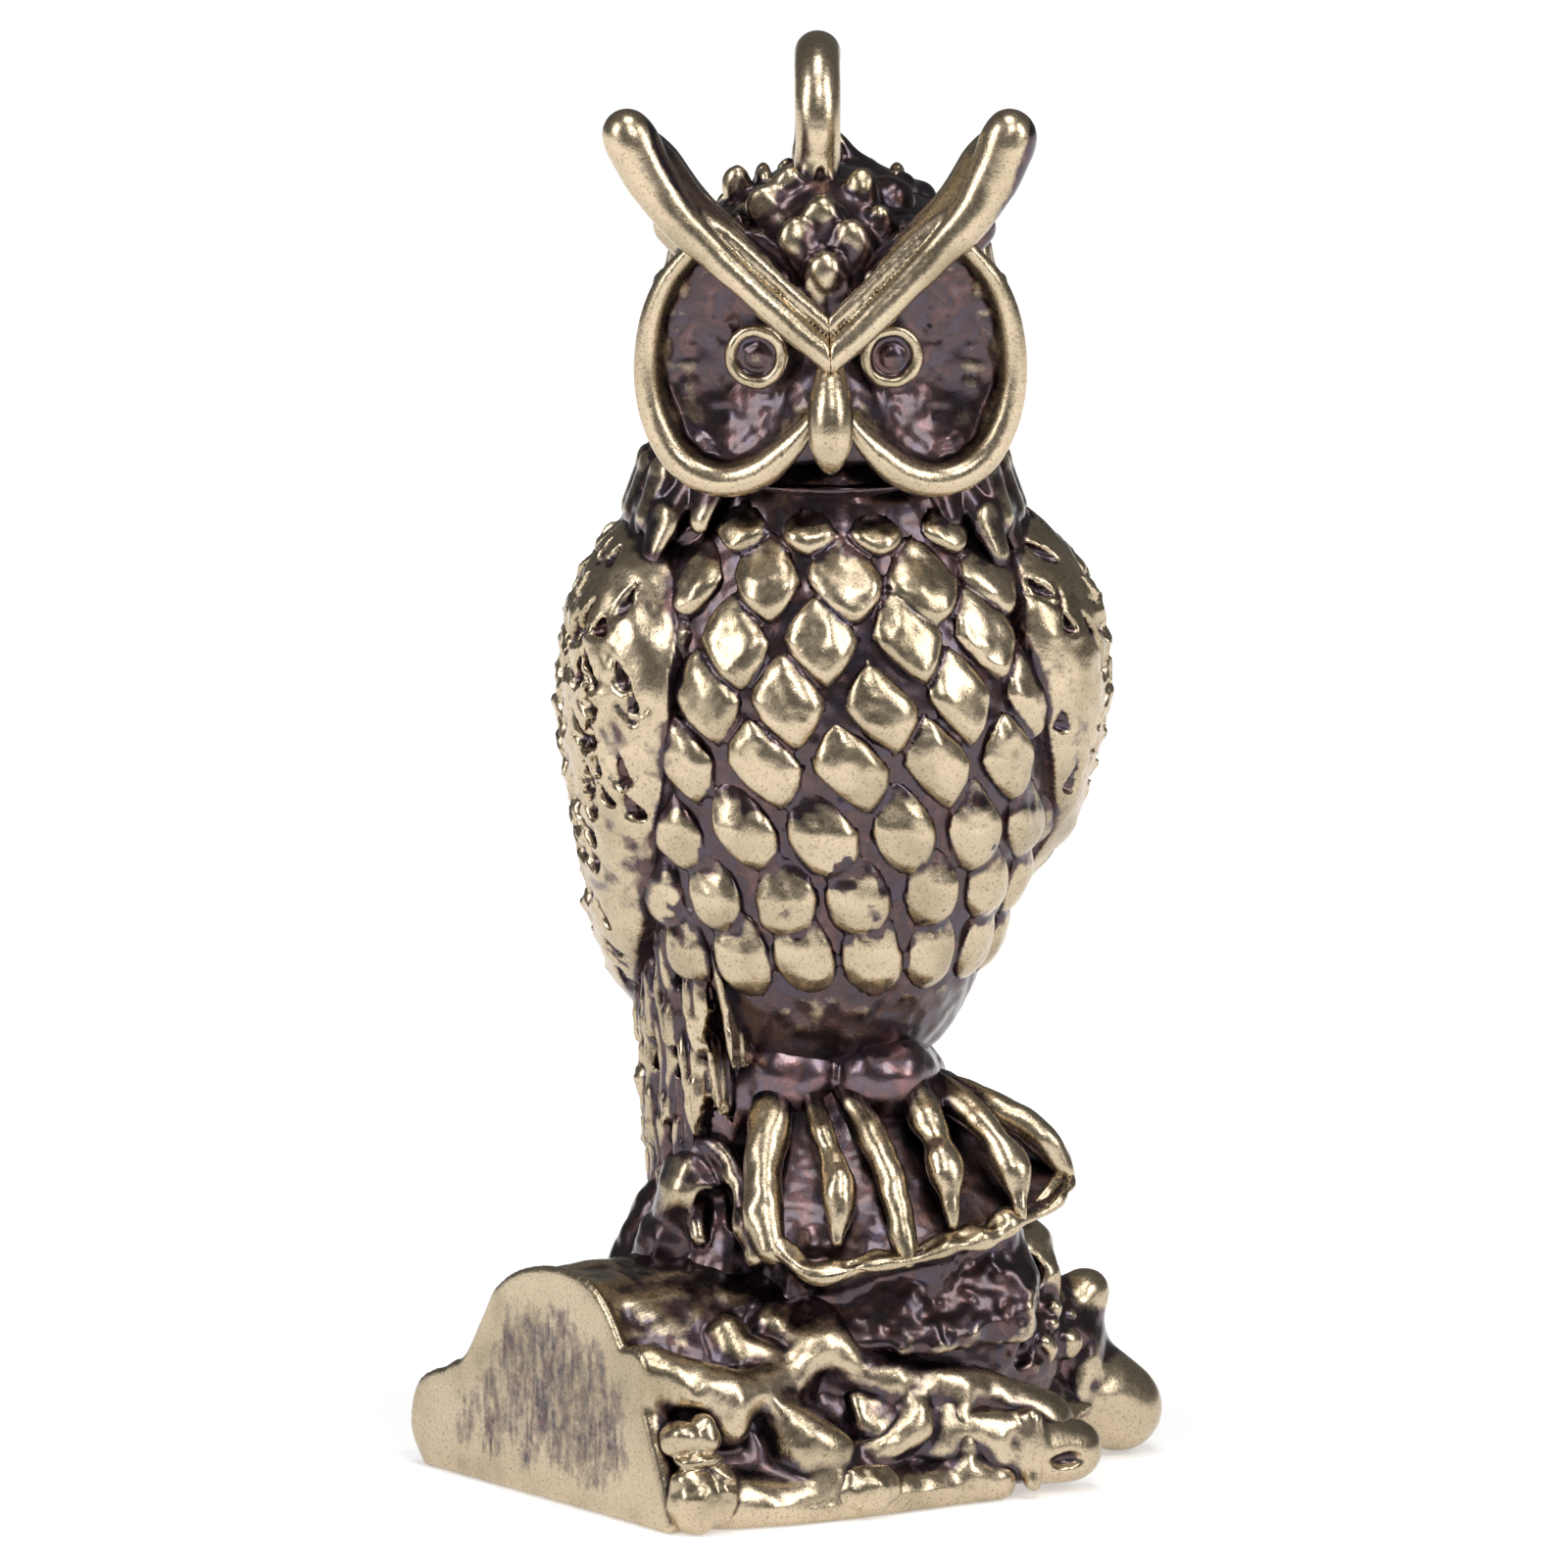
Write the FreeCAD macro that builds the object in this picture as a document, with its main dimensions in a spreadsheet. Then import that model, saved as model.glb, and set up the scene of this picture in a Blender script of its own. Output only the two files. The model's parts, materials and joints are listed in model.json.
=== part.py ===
"""Cast brass owl figurine with a hanging loop, perched on a short length of gnarled log.

Frame: millimetres, +Z up. The log lies along X with its sawn end at -X, and the talons reach out
towards -Y. The origin is on the flat underside, straight below the owl's own axis. The owl twists as
it rises: its feet stand a little turned from the log, and its face is turned further towards -X.

The casting has no moving parts. It is divided along its deep valleys into the masses that a modeller
builds the wax from, and neighbouring masses are cut to meet face to face.
"""

import FreeCAD, Part

import math
import os

import Sketcher
from FreeCAD import Placement, Rotation, Vector

UP = Vector(0, 0, 1)
LEFT, RIGHT = 1, -1  # the owl's own sides: its left wing is at +X of its own frame

DIMENSIONS = (
    # alias, value in millimetres or degrees, meaning
    ("feet_turn", 10.0, "turn of the feet from the log"),
    ("head_turn", 35.0, "turn of the face from the log"),
    ("twist_low", 8.0, "height where the twist starts"),
    ("twist_high", 28.0, "height where the twist ends"),
    ("log_length", 14.6, "sawn end to the fork of the two stubs"),
    ("log_sawn_x", 9.8, "sawn end from the owl's axis"),
    ("log_width", 11.6, "across the flat underside"),
    ("log_tall", 6.7, "underside to crest"),
    ("log_wall", 1.2, "upright part of each side"),
    ("log_round", 1.5, "rounding of the forked end"),
    ("front_stub_radius", 1.35, "front stub at its root"),
    ("rear_stub_radius", 1.7, "rear stub at its root"),
    ("burl_radius", 3.5, "swelling on top of the forked end"),
    ("knot_radius", 1.05, "largest knot"),
    ("ledge_thick", 0.9, "lip of rock under the claws"),
    ("ledge_base", 6.9, "underside of the lip"),
    ("ledge_half_width", 5.8, "middle to each side of the lip"),
    ("ledge_reach", 6.7, "axis to the front of the lip"),
    ("mound_half_width", 5.2, "rock under the toes, at its foot"),
    ("spur_radius", 2.1, "rough spur behind the perch"),
    ("leg_radius", 1.75, "thigh"),
    ("toe_radius", 0.55, "toe at its root"),
    ("torso_base", 11.6, "underside of the belly"),
    ("torso_tall", 18.4, "belly to neck"),
    ("torso_width", 13.2, "across the breast"),
    ("torso_depth", 12.4, "breast to back"),
    ("breast_feather_wide", 2.05, "one breast feather"),
    ("breast_feather_tall", 2.75, "one breast feather"),
    ("breast_feather_proud", 0.4, "how far a breast feather stands out"),
    ("wing_thick", 1.25, "wing over the torso"),
    ("plume_wide", 1.3, "one long flight feather"),
    ("tail_wide", 5.6, "across the tail feathers"),
    ("tail_thick", 1.5, "tail"),
    ("head_width", 10.2, "skull"),
    ("head_depth", 9.8, "skull"),
    ("head_tall", 9.6, "skull"),
    ("head_centre", 33.6, "height of the skull's middle"),
    ("disc_wide", 5.2, "one facial disc"),
    ("disc_tall", 6.6, "one facial disc"),
    ("disc_thick", 2.4, "one facial disc, front to back"),
    ("disc_rim", 0.45, "rolled rim round a disc"),
    ("eye_radius", 0.95, "eye"),
    ("eye_thick", 1.3, "eye, front to back"),
    ("pupil_radius", 0.3, "raised pupil"),
    ("eye_ring", 0.3, "width of the raised ring round an eye"),
    ("beak_radius", 0.76, "beak at its thickest"),
    ("brow_radius", 0.68, "brow bar"),
    ("crown_feather", 0.95, "width of one crown feather"),
    ("ruff_feather", 1.25, "width of one neck feather"),
    ("loop_hole", 1.25, "radius of the loop's eye"),
    ("loop_wire", 1.35, "thickness of the loop"),
    ("loop_centre", 39.75, "height of the loop's eye"),
)

# Torso outline: share of its height, half width, half depth (shares of the largest), back offset in mm.
TORSO = (
    (0.0, 0.48, 0.50, 0.6),
    (0.08, 0.63, 0.66, 0.5),
    (0.19, 0.76, 0.81, 0.2),
    (0.32, 0.87, 0.90, 0.0),
    (0.48, 0.97, 0.98, -0.1),
    (0.65, 1.0, 1.0, -0.1),
    (0.80, 0.90, 0.91, 0.1),
    (0.90, 0.75, 0.79, 0.2),
    (1.0, 0.66, 0.69, 0.2),
)

doc = FreeCAD.newDocument("owl_figurine")
sheet = doc.addObject("Spreadsheet::Sheet", "dims")
for row, (alias, size, meaning) in enumerate(DIMENSIONS, start=1):
    sheet.set(f"A{row}", meaning)
    sheet.set(f"B{row}", str(size))
    sheet.setAlias(f"B{row}", alias)
doc.recompute()

nodes = []  # the finished sub-parts, in the order they were made


def dim(alias):
    """A driving dimension's value."""
    return float(sheet.get(alias))


def finish(obj, label):
    """Marks an object as a finished sub-part under the name its file gets."""
    obj.Label = label
    nodes.append(obj)
    return obj


def turn_at(height):
    """How far, in degrees, the owl has twisted at a height."""
    share = (height - dim("twist_low")) / (dim("twist_high") - dim("twist_low"))
    share = min(1.0, max(0.0, share))
    eased = share * share * (3 - 2 * share)
    return dim("feet_turn") + (dim("head_turn") - dim("feet_turn")) * eased


def owl_turn(height):
    """Rotation from the owl's own frame, where it faces -Y, to the log's frame."""
    return Rotation(UP, -turn_at(height))


def owl_point(x, y, z):
    """A point given in the owl's own frame, twisted to where it lies."""
    return owl_turn(z).multVec(Vector(x, y, z))


# ---- shapes bound to the sheet ----


def ellipse(placement, wide, deep):
    """An ellipse in its placement's XY plane; wide and deep are expressions for the half axes."""
    ring = doc.addObject("Part::Ellipse", "ring")
    swap = ring.evalExpression(wide) < ring.evalExpression(deep)
    ring.setExpression("MajorRadius", deep if swap else wide)
    ring.setExpression("MinorRadius", wide if swap else deep)
    quarter = Placement(Vector(), Rotation(UP, 90 if swap else 0))
    ring.Placement = placement * quarter
    return ring


def loft(rings, name="loft"):
    """A closed solid through a row of rings."""
    solid = doc.addObject("Part::Loft", name)
    solid.Sections = rings
    solid.Solid = True
    return solid


def limb(points, radius, shares, flat=1.0):
    """A tapering limb along points. Its radius is an expression, and each share scales it there."""
    rings = []
    for i, (point, share) in enumerate(zip(points, shares)):
        ahead = points[min(i + 1, len(points) - 1)] - points[max(i - 1, 0)]
        facing = Placement(point, Rotation(Vector(1, 0, 0), Vector(), ahead, "ZXY"))
        size = f"{radius} * {share}"
        rings.append(ellipse(facing, size, f"{size} * {flat}"))
    return loft(rings, "limb")


def ellipsoid(placement, wide, deep, tall):
    """An ellipsoid whose half axes along X, Y and Z are expressions."""
    ball = doc.addObject("Part::Ellipsoid", "ball")
    ball.setExpression("Radius1", tall)
    ball.setExpression("Radius2", wide)
    ball.setExpression("Radius3", deep)
    ball.Angle1 = -90
    ball.Angle2 = 90
    ball.Angle3 = 360
    ball.Placement = placement
    return ball


def cut(base, *tools):
    """base with each tool taken away in turn."""
    for tool in tools:
        step = doc.addObject("Part::Cut", "cut")
        step.Base = base
        step.Tool = tool
        base = step
    return base


def own_half(side, solid):
    """The part of something on the head that lies on one side of the owl's middle plane."""
    block = doc.addObject("Part::Box", "half_space")
    block.Length, block.Width, block.Height = 20, 40, 40
    corner = Vector(-20 if side == LEFT else 0, -20, 20)
    turn = owl_turn(dim("head_centre"))
    block.Placement = Placement(turn.multVec(corner), turn)
    return cut(solid, block)


def common(first, second):
    step = doc.addObject("Part::Common", "common")
    step.Base = first
    step.Tool = second
    return step


def fuse(first, second):
    step = doc.addObject("Part::Fuse", "fuse")
    step.Base = first
    step.Tool = second
    return step


def group(members, name="group"):
    """Separate solids kept together as one sub-part."""
    set_of = doc.addObject("Part::Compound", name)
    set_of.Links = members
    return set_of


def body_with_sketch(name, role):
    """A PartDesign body with one sketch on the origin plane of that role."""
    body = doc.addObject("PartDesign::Body", name)
    sketch = body.newObject("Sketcher::SketchObject", name + "_outline")
    plane = next(f for f in body.Origin.OriginFeatures if f.Role == role)
    sketch.AttachmentSupport = [(plane, "")]
    sketch.MapMode = "FlatFace"
    return body, sketch


def polyline(sketch, points):
    """A closed outline of straight lines, joined end to end."""
    count = len(points)
    for i in range(count):
        start, end = Vector(*points[i], 0), Vector(*points[(i + 1) % count], 0)
        sketch.addGeometry(Part.LineSegment(start, end), False)
    for i in range(count):
        sketch.addConstraint(Sketcher.Constraint("Coincident", i, 2, (i + 1) % count, 1))


def bind(sketch, kind, geometry, expression):
    """A dimensional constraint on a sketch's geometry, held by an expression of the sheet."""
    index = sketch.addConstraint(Sketcher.Constraint(kind, *geometry, sketch.evalExpression(expression)))
    sketch.setExpression(f"Constraints[{index}]", expression)


def pad(body, sketch, length, midplane=False):
    """A pad of a sketch by an expression."""
    feature = body.newObject("PartDesign::Pad", "pad")
    feature.Profile = sketch
    feature.setExpression("Length", length)
    feature.Midplane = midplane
    doc.recompute()
    return feature


def revolve(body, sketch):
    """A full turn of a sketch about its own vertical axis."""
    feature = body.newObject("PartDesign::Revolution", "turned")
    feature.Profile = sketch
    feature.ReferenceAxis = (sketch, ["V_Axis"])
    feature.Angle = 360
    doc.recompute()
    return feature


def fillet(body, base, edges, radius):
    feature = body.newObject("PartDesign::Fillet", "rounded")
    feature.Base = (base, edges)
    feature.setExpression("Radius", radius)
    doc.recompute()
    return feature


def edges_where(shape, test):
    """Names of the shape's edges whose middle passes a test."""
    middles = [e.valueAt((e.FirstParameter + e.LastParameter) / 2) for e in shape.Edges]
    return [f"Edge{i}" for i, middle in enumerate(middles, start=1) if test(middle)]


# ---- the perch ----


def make_log():
    """Half-round length of log: flat underside, upright flanks and an arched back, sawn square at -X."""
    body, sketch = body_with_sketch("log_body", "YZ_Plane")
    half, wall, tall = dim("log_width") / 2, dim("log_wall"), dim("log_tall")
    corners = [Vector(-half, wall, 0), Vector(-half, 0, 0), Vector(half, 0, 0), Vector(half, wall, 0)]
    for start, end in zip(corners, corners[1:]):
        sketch.addGeometry(Part.LineSegment(start, end), False)
    sketch.addGeometry(Part.Arc(corners[3], Vector(0, tall, 0), corners[0]), False)
    join = Sketcher.Constraint
    sketch.addConstraint(
        [
            join("Coincident", 0, 2, 1, 1),
            join("Coincident", 1, 2, 2, 1),
            join("Coincident", 2, 2, 3, 1),
            join("Coincident", 3, 2, 0, 1),
            join("Vertical", 0),
            join("Vertical", 2),
            join("PointOnObject", 1, 1, -1),
            join("Symmetric", 1, 1, 1, 2, -2),
            join("Equal", 0, 2),
        ]
    )
    bind(sketch, "DistanceX", (1, 1, 1, 2), "dims.log_width")
    bind(sketch, "DistanceY", (2, 1, 2, 2), "dims.log_wall")
    rise = "(dims.log_tall - dims.log_wall)"
    bind(sketch, "Radius", (3,), f"(dims.log_width^2 / 4 + {rise}^2) / (2 * {rise})")
    padded = pad(body, sketch, "dims.log_length")
    far = dim("log_length") - 1e-3
    rim = edges_where(padded.Shape, lambda middle: middle.x > far and middle.z > wall / 4)
    fillet(body, padded, rim, "dims.log_round")
    body.setExpression("Placement.Base.x", "-dims.log_sawn_x")
    return body


def make_stubs(log):
    """Two blunt branch stubs: the front one lies along the log's foot, the rear one curls down."""
    front_path = [
        Vector(-2.5, -4.0, 2.4),
        Vector(0.5, -5.0, 1.9),
        Vector(3.0, -5.9, 1.4),
        Vector(4.6, -6.3, 1.15),
        Vector(5.4, -6.45, 1.1),
    ]
    rear_path = [
        Vector(3.0, -0.8, 3.6),
        Vector(5.0, -1.6, 3.0),
        Vector(6.9, -2.2, 2.1),
        Vector(8.3, -2.6, 1.5),
        Vector(9.2, -2.8, 1.3),
    ]
    front = limb(front_path, "dims.front_stub_radius", (1.2, 1.1, 0.95, 0.8, 0.42))
    rear = limb(rear_path, "dims.rear_stub_radius", (1.2, 1.15, 1.0, 0.85, 0.45))
    return cut(front, log), cut(rear, log)


def make_burl(log, rear_stub):
    """Swelling that carries the rear stub and the right end of the lip."""
    place = Placement(Vector(4.3, 0.6, 3.3), Rotation())
    swelling = ellipsoid(place, "dims.burl_radius", "dims.burl_radius * 1.2", "dims.burl_radius * 0.94")
    return cut(swelling, log, rear_stub)


def make_knots(*around):
    """Pruned knots along the log's front foot and one on the burl."""
    knots = []
    for x, y, z, share in (
        (-8.6, -5.7, 1.1, 1.0),
        (-8.7, -5.6, 2.9, 0.72),
        (-6.9, -5.6, 3.1, 0.45),
        (-2.8, -6.2, 0.95, 0.86),
        (7.4, -0.9, 5.0, 0.55),
    ):
        size = f"dims.knot_radius * {share}"
        knots.append(ellipsoid(Placement(Vector(x, y, z), Rotation()), size, size, size))
    return cut(group(knots), *around)


def make_mound(*around):
    """Rock rising under the toes: a half cone that leans forward."""
    rings = []
    for height, wide, deep, back in (
        (6.0, 1.0, 0.75, -2.6),
        (7.6, 0.98, 0.70, -2.4),
        (9.2, 0.86, 0.56, -1.9),
        (10.8, 0.66, 0.42, -1.2),
        (11.6, 0.55, 0.36, -0.8),
    ):
        place = Placement(owl_point(0, back, height), owl_turn(height))
        rings.append(ellipse(place, f"dims.mound_half_width * {wide}", f"dims.mound_half_width * {deep}"))
    return cut(loft(rings), *around)


def make_ledge(*around):
    """Thin scalloped lip of rock that the claws hook over."""
    body, sketch = body_with_sketch("ledge_body", "XY_Plane")
    half, reach = dim("ledge_half_width"), dim("ledge_reach")
    outline = (
        (-half, -0.55 * reach),
        (-0.86 * half, -0.86 * reach),
        (-0.45 * half, -reach),
        (0.1 * half, -0.96 * reach),
        (0.6 * half, -0.98 * reach),
        (0.95 * half, -0.78 * reach),
        (half, -0.45 * reach),
        (0.5 * half, -0.3 * reach),
        (-0.5 * half, -0.3 * reach),
    )
    polyline(sketch, outline)
    bind(sketch, "DistanceX", (0, 1, 6, 1), "2 * dims.ledge_half_width")
    bind(sketch, "DistanceY", (1, 2, -1, 1), "dims.ledge_reach")
    slab = pad(body, sketch, "dims.ledge_thick")
    front = edges_where(slab.Shape, lambda middle: middle.y < -0.2 * reach)
    fillet(body, slab, front, "dims.ledge_thick * 0.3")
    tip = Rotation(Vector(0, 1, 0), -6)  # the lip rises towards the owl's left foot
    body.Placement = Placement(Vector(0, 0, 0), owl_turn(dim("ledge_base")) * tip)
    body.setExpression("Placement.Base.z", "dims.ledge_base")
    return cut(body, *around)


def make_spur(*around):
    """Rough spur of rock behind the perch, between the log and the tail."""
    rings = []
    for x, y, z, share in ((-4.6, 2.0, 4.6, 1.25), (-4.0, 2.3, 6.6, 1.0), (-3.3, 2.6, 8.2, 0.66), (-3.0, 2.7, 9.1, 0.3)):
        size = f"dims.spur_radius * {share}"
        rings.append(ellipse(Placement(Vector(x, y, z), Rotation()), size, size))
    return cut(loft(rings), *around)


# ---- the owl ----


def make_torso(grow="0", shares=TORSO):
    """Twisted barrel of the body. grow is an expression added to every half axis."""
    rings = []
    for up, wide, deep, back in shares:
        height = dim("torso_base") + up * dim("torso_tall")
        place = Placement(owl_point(0, back, height), owl_turn(height))
        half_width = f"dims.torso_width / 2 * {wide} + {grow}"
        half_depth = f"dims.torso_depth / 2 * {deep} + {grow}"
        rings.append(ellipse(place, half_width, half_depth))
    return loft(rings, "torso_loft")


def torso_at(height):
    """Half width, half depth and back offset of the torso at a height, between its sections."""
    up = (height - dim("torso_base")) / dim("torso_tall")
    for low, high in zip(TORSO, TORSO[1:]):
        if up <= high[0]:
            share = (up - low[0]) / (high[0] - low[0])
            wide, deep, back = (a + (b - a) * share for a, b in zip(low[1:], high[1:]))
            return dim("torso_width") / 2 * wide, dim("torso_depth") / 2 * deep, back
    raise ValueError(f"{height} is above the torso")


def on_torso(angle, height):
    """Where a ray at an angle from the breast's middle meets the torso, and the turn to face out there."""
    half_width, half_depth, back = torso_at(height)
    side, front = math.sin(math.radians(angle)), math.cos(math.radians(angle))
    reach = 1 / math.hypot(side / half_width, front / half_depth)
    point = owl_point(side * reach, back - front * reach, height)
    return point, Rotation(UP, angle - turn_at(height))


def make_breast_feathers(torso):
    """Rows of rounded scale feathers over the breast, each row set half a feather over."""
    feathers = []
    row_step = dim("breast_feather_tall") * 0.66
    column_step = 20.0  # degrees
    for row in range(9):
        height = 27.6 - row * row_step
        reach = 40 if row < 5 else 55
        first = -3 + (0.5 if row % 2 else 0)
        columns = [(first + i) * column_step for i in range(7)]
        lean = Rotation(Vector(1, 0, 0), 8 if height < 21 else -6)
        for angle in (a for a in columns if abs(a) <= reach):
            point, facing = on_torso(angle, height)
            place = Placement(point, facing * lean)
            half_wide, half_tall = "dims.breast_feather_wide / 2", "dims.breast_feather_tall / 2"
            shrink = 0.92 if row < 6 else 0.78
            feathers.append(
                ellipsoid(place, f"{half_wide} * {shrink}", "dims.breast_feather_proud", f"{half_tall} * {shrink}")
            )
    return cut(group(feathers), torso)


def make_wing(side, torso, shell):
    """Folded wing: the part of a shell over the torso inside the wing's outline, as seen from the side."""
    body, sketch = body_with_sketch("wing_body", "YZ_Plane")
    outline = (
        (-3.4, 27.4),
        (-1.0, 29.2),
        (2.5, 29.2),
        (5.6, 26.8),
        (7.6, 21.5),
        (7.6, 16.0),
        (6.8, 12.6),
        (4.6, 12.4),
        (1.8, 14.6),
        (-1.4, 17.4),
        (-3.4, 20.4),
        (-3.9, 24.2),
    )
    # the right wing is the left one's outline turned over, on a body turned half round to the other side
    curve = Part.BSplineCurve()
    curve.interpolate([Vector(side * y, z, 0) for y, z in outline], PeriodicFlag=True)
    sketch.addGeometry(curve, False)
    pad(body, sketch, "dims.torso_width")
    middle = dim("torso_base") + 0.5 * dim("torso_tall")
    other_side = Rotation(UP, 0 if side == LEFT else 180)
    body.Placement = Placement(Vector(), owl_turn(middle) * other_side)
    return cut(common(shell, body), torso)


def make_plumes(side, *around):
    """Three long flight feathers that hang below the folded wing."""
    feathers = []
    for angle, low, length in ((96, 11.6, 5.2), (118, 10.6, 6.0), (140, 9.8, 6.6)):
        points = []
        for share in (0.0, 0.3, 0.7, 1.0):
            height = low + (1 - share) * length
            out = 5.35 - 0.75 * share
            bearing = math.radians(angle * side)
            points.append(owl_point(out * math.sin(bearing), 0.9 - out * math.cos(bearing), height))
        feathers.append(limb(points, "dims.plume_wide / 2", (0.7, 1.0, 0.9, 0.25), flat=0.62))
    return cut(group(feathers), *around)


def make_tail(*around):
    """Fan of tail feathers that comes down behind the perch on to the log."""
    rings = []
    for height, back, wide, thick in (
        (15.5, 4.2, 0.72, 1.2),
        (13.0, 4.9, 0.9, 1.3),
        (10.0, 5.3, 1.0, 1.1),
        (7.6, 5.4, 1.0, 0.9),
        (5.4, 5.3, 0.92, 0.7),
    ):
        place = Placement(owl_point(0, back, height), owl_turn(height))
        rings.append(ellipse(place, f"dims.tail_wide / 2 * {wide}", f"dims.tail_thick / 2 * {thick}"))
    return cut(loft(rings), *around)


def make_leg(side, *around):
    """Smooth feathered thigh between the belly and the rock."""
    height = 12.2
    place = Placement(owl_point(side * 1.9, -1.5, height), owl_turn(height))
    return cut(ellipsoid(place, "dims.leg_radius", "dims.leg_radius", "dims.leg_radius * 1.05"), *around)


def make_toes(side, *around):
    """Three toes of one foot, each with a knuckle and a hooked claw."""
    toes = []
    for root, spread in ((0.75, 0.8), (2.0, 2.8), (3.2, 4.7)):
        reach = 6.5 if spread < 4 else 5.9
        points = [
            owl_point(side * root, -2.7, 11.9),
            owl_point(side * (root + 0.35 * (spread - root)), -3.6, 11.15),
            owl_point(side * (root + 0.7 * (spread - root)), -4.9, 10.1),
            owl_point(side * spread, -reach + 0.45, 9.2),
            owl_point(side * spread, -reach, 8.2),
            owl_point(side * spread, -reach - 0.1, 7.6),
        ]
        toes.append(limb(points, "dims.toe_radius", (0.9, 0.85, 0.8, 1.05, 0.6, 0.2)))
    return cut(group(toes), *around)


def make_head(torso):
    """Skull, cut to stand on the neck."""
    place = Placement(owl_point(0, 0.3, dim("head_centre")), owl_turn(dim("head_centre")))
    skull = ellipsoid(place, "dims.head_width / 2", "dims.head_depth / 2", "dims.head_tall / 2")
    return cut(skull, torso)


def make_disc(side, head):
    """Facial disc: an oval bowl with a rim, turned a little outwards."""
    height = 32.9
    splay = Rotation(UP, side * 18) * Rotation(Vector(1, 0, 0), 90)
    middle = Placement(owl_point(side * 3.1, -4.1, height), owl_turn(height) * splay)

    def bowl(rings, inset):
        """Ovals set at depths in front of the disc's middle, each at a share of its full size."""
        return loft(
            [
                ellipse(
                    middle * Placement(Vector(0, 0, forward), Rotation()),
                    f"(dims.disc_wide / 2 - {inset}) * {share}",
                    f"(dims.disc_tall / 2 - {inset}) * {share}",
                )
                for forward, share in rings
            ]
        )

    back, front = -dim("disc_thick") / 2, dim("disc_thick") / 2
    outer = bowl(((back, 0.62), (back / 2, 0.84), (0.0, 0.96), (front, 1.0)), "0")
    inner = bowl(((0.25, 0.55), (0.5, 0.78), (front, 0.97), (front + 0.5, 1.02)), "dims.disc_rim")
    return own_half(side, cut(outer, inner, head))


def make_eye(side, *around):
    """Round eye: raised ring, sunken iris and raised pupil, turned in one piece."""
    body, sketch = body_with_sketch("eye_body", "XY_Plane")
    radius, ring, pupil, thick = dim("eye_radius"), dim("eye_ring"), dim("pupil_radius"), dim("eye_thick")
    iris = thick - 0.35
    outline = (
        (0, 0),
        (radius, 0),
        (radius, thick - 0.15),
        (radius - ring / 2, thick),
        (radius - ring, thick - 0.15),
        (radius - ring, iris),
        (pupil, iris),
        (pupil, thick - 0.1),
        (0, thick),
    )
    polyline(sketch, outline)
    bind(sketch, "DistanceX", (0, 1, 0, 2), "dims.eye_radius")
    bind(sketch, "DistanceX", (5, 2, 1, 2), "dims.eye_ring")
    bind(sketch, "DistanceX", (8, 1, 6, 2), "dims.pupil_radius")
    revolve(body, sketch)
    height = 33.7
    facing = owl_turn(height) * Rotation(UP, side * 10) * Rotation(Vector(1, 0, 0), 180)
    body.Placement = Placement(owl_point(side * 2.0, -3.9, height), facing)
    return cut(body, *around)


def make_beak(*around):
    """Beak between the discs, hooked down over the chin."""
    path = [
        owl_point(0, forward, height)
        for forward, height in ((-4.9, 33.6), (-5.7, 32.9), (-6.3, 31.9), (-6.35, 31.0), (-6.1, 30.3))
    ]
    shares = (0.5, 0.85, 1.0, 0.72, 0.2)
    return cut(limb(path, "dims.beak_radius", shares, flat=1.1), *around)


def make_brow(side, *around):
    """Brow bar that sweeps up from the beak into an ear tuft, webbed back to the crown."""
    path = (
        # across, forward, height, share of the bar's radius, depth over width
        (-0.25, -5.9, 34.0, 0.8, 1.2),
        (2.0, -5.2, 36.05, 0.95, 1.7),
        (4.0, -4.5, 38.0, 1.0, 2.0),
        (5.2, -4.3, 39.4, 0.95, 1.7),
        (5.95, -4.3, 40.5, 0.9, 1.2),
        (6.2, -4.3, 40.95, 0.5, 1.1),
    )
    rings = []
    points = [owl_point(side * across, forward, height) for across, forward, height, _, _ in path]
    for i, (_, _, height, share, deep) in enumerate(path):
        ahead = points[min(i + 1, len(points) - 1)] - points[max(i - 1, 0)]
        back = owl_turn(height).multVec(Vector(0, 1, 0))
        facing = Placement(points[i], Rotation(Vector(), back, ahead, "ZYX"))
        size = f"dims.brow_radius * {share}"
        rings.append(ellipse(facing, size, f"{size} * {deep}"))
    return own_half(side, cut(loft(rings), *around))


def make_crown_feathers(*around):
    """Small upright feathers in the trough between the brows."""
    feathers = []
    for across, forward, height in (
        (0.0, -4.2, 35.75),
        (-0.85, -3.6, 36.6),
        (0.8, -3.6, 36.6),
        (0.0, -2.9, 37.3),
        (-1.75, -2.7, 37.2),
        (1.7, -2.6, 37.3),
        (0.9, -1.9, 37.9),
        (-0.9, -1.9, 37.9),
        (1.9, -0.9, 38.0),
        (-1.9, -0.9, 38.0),
    ):
        place = Placement(owl_point(across, forward, height), owl_turn(height))
        half = "dims.crown_feather / 2"
        feathers.append(ellipsoid(place, half, half, f"{half} * 1.3"))
    return cut(group(feathers), *around)


def make_ruff(*around):
    """Pointed neck feathers that fan out over the shoulders, all round but for the throat."""
    feathers = []
    for angle in (-165, -135, -105, -75, -48, 48, 75, 105, 135, 165):
        height = 28.9
        bearing = math.radians(angle)
        out = 4.9
        point = owl_point(out * math.sin(bearing), 0.2 - out * math.cos(bearing), height)
        lean = Rotation(UP, angle - turn_at(height)) * Rotation(Vector(1, 0, 0), -38)
        half = "dims.ruff_feather / 2"
        feathers.append(ellipsoid(Placement(point, lean), half, f"{half} * 0.6", f"{half} * 2.1"))
    return cut(group(feathers), *around)


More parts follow.
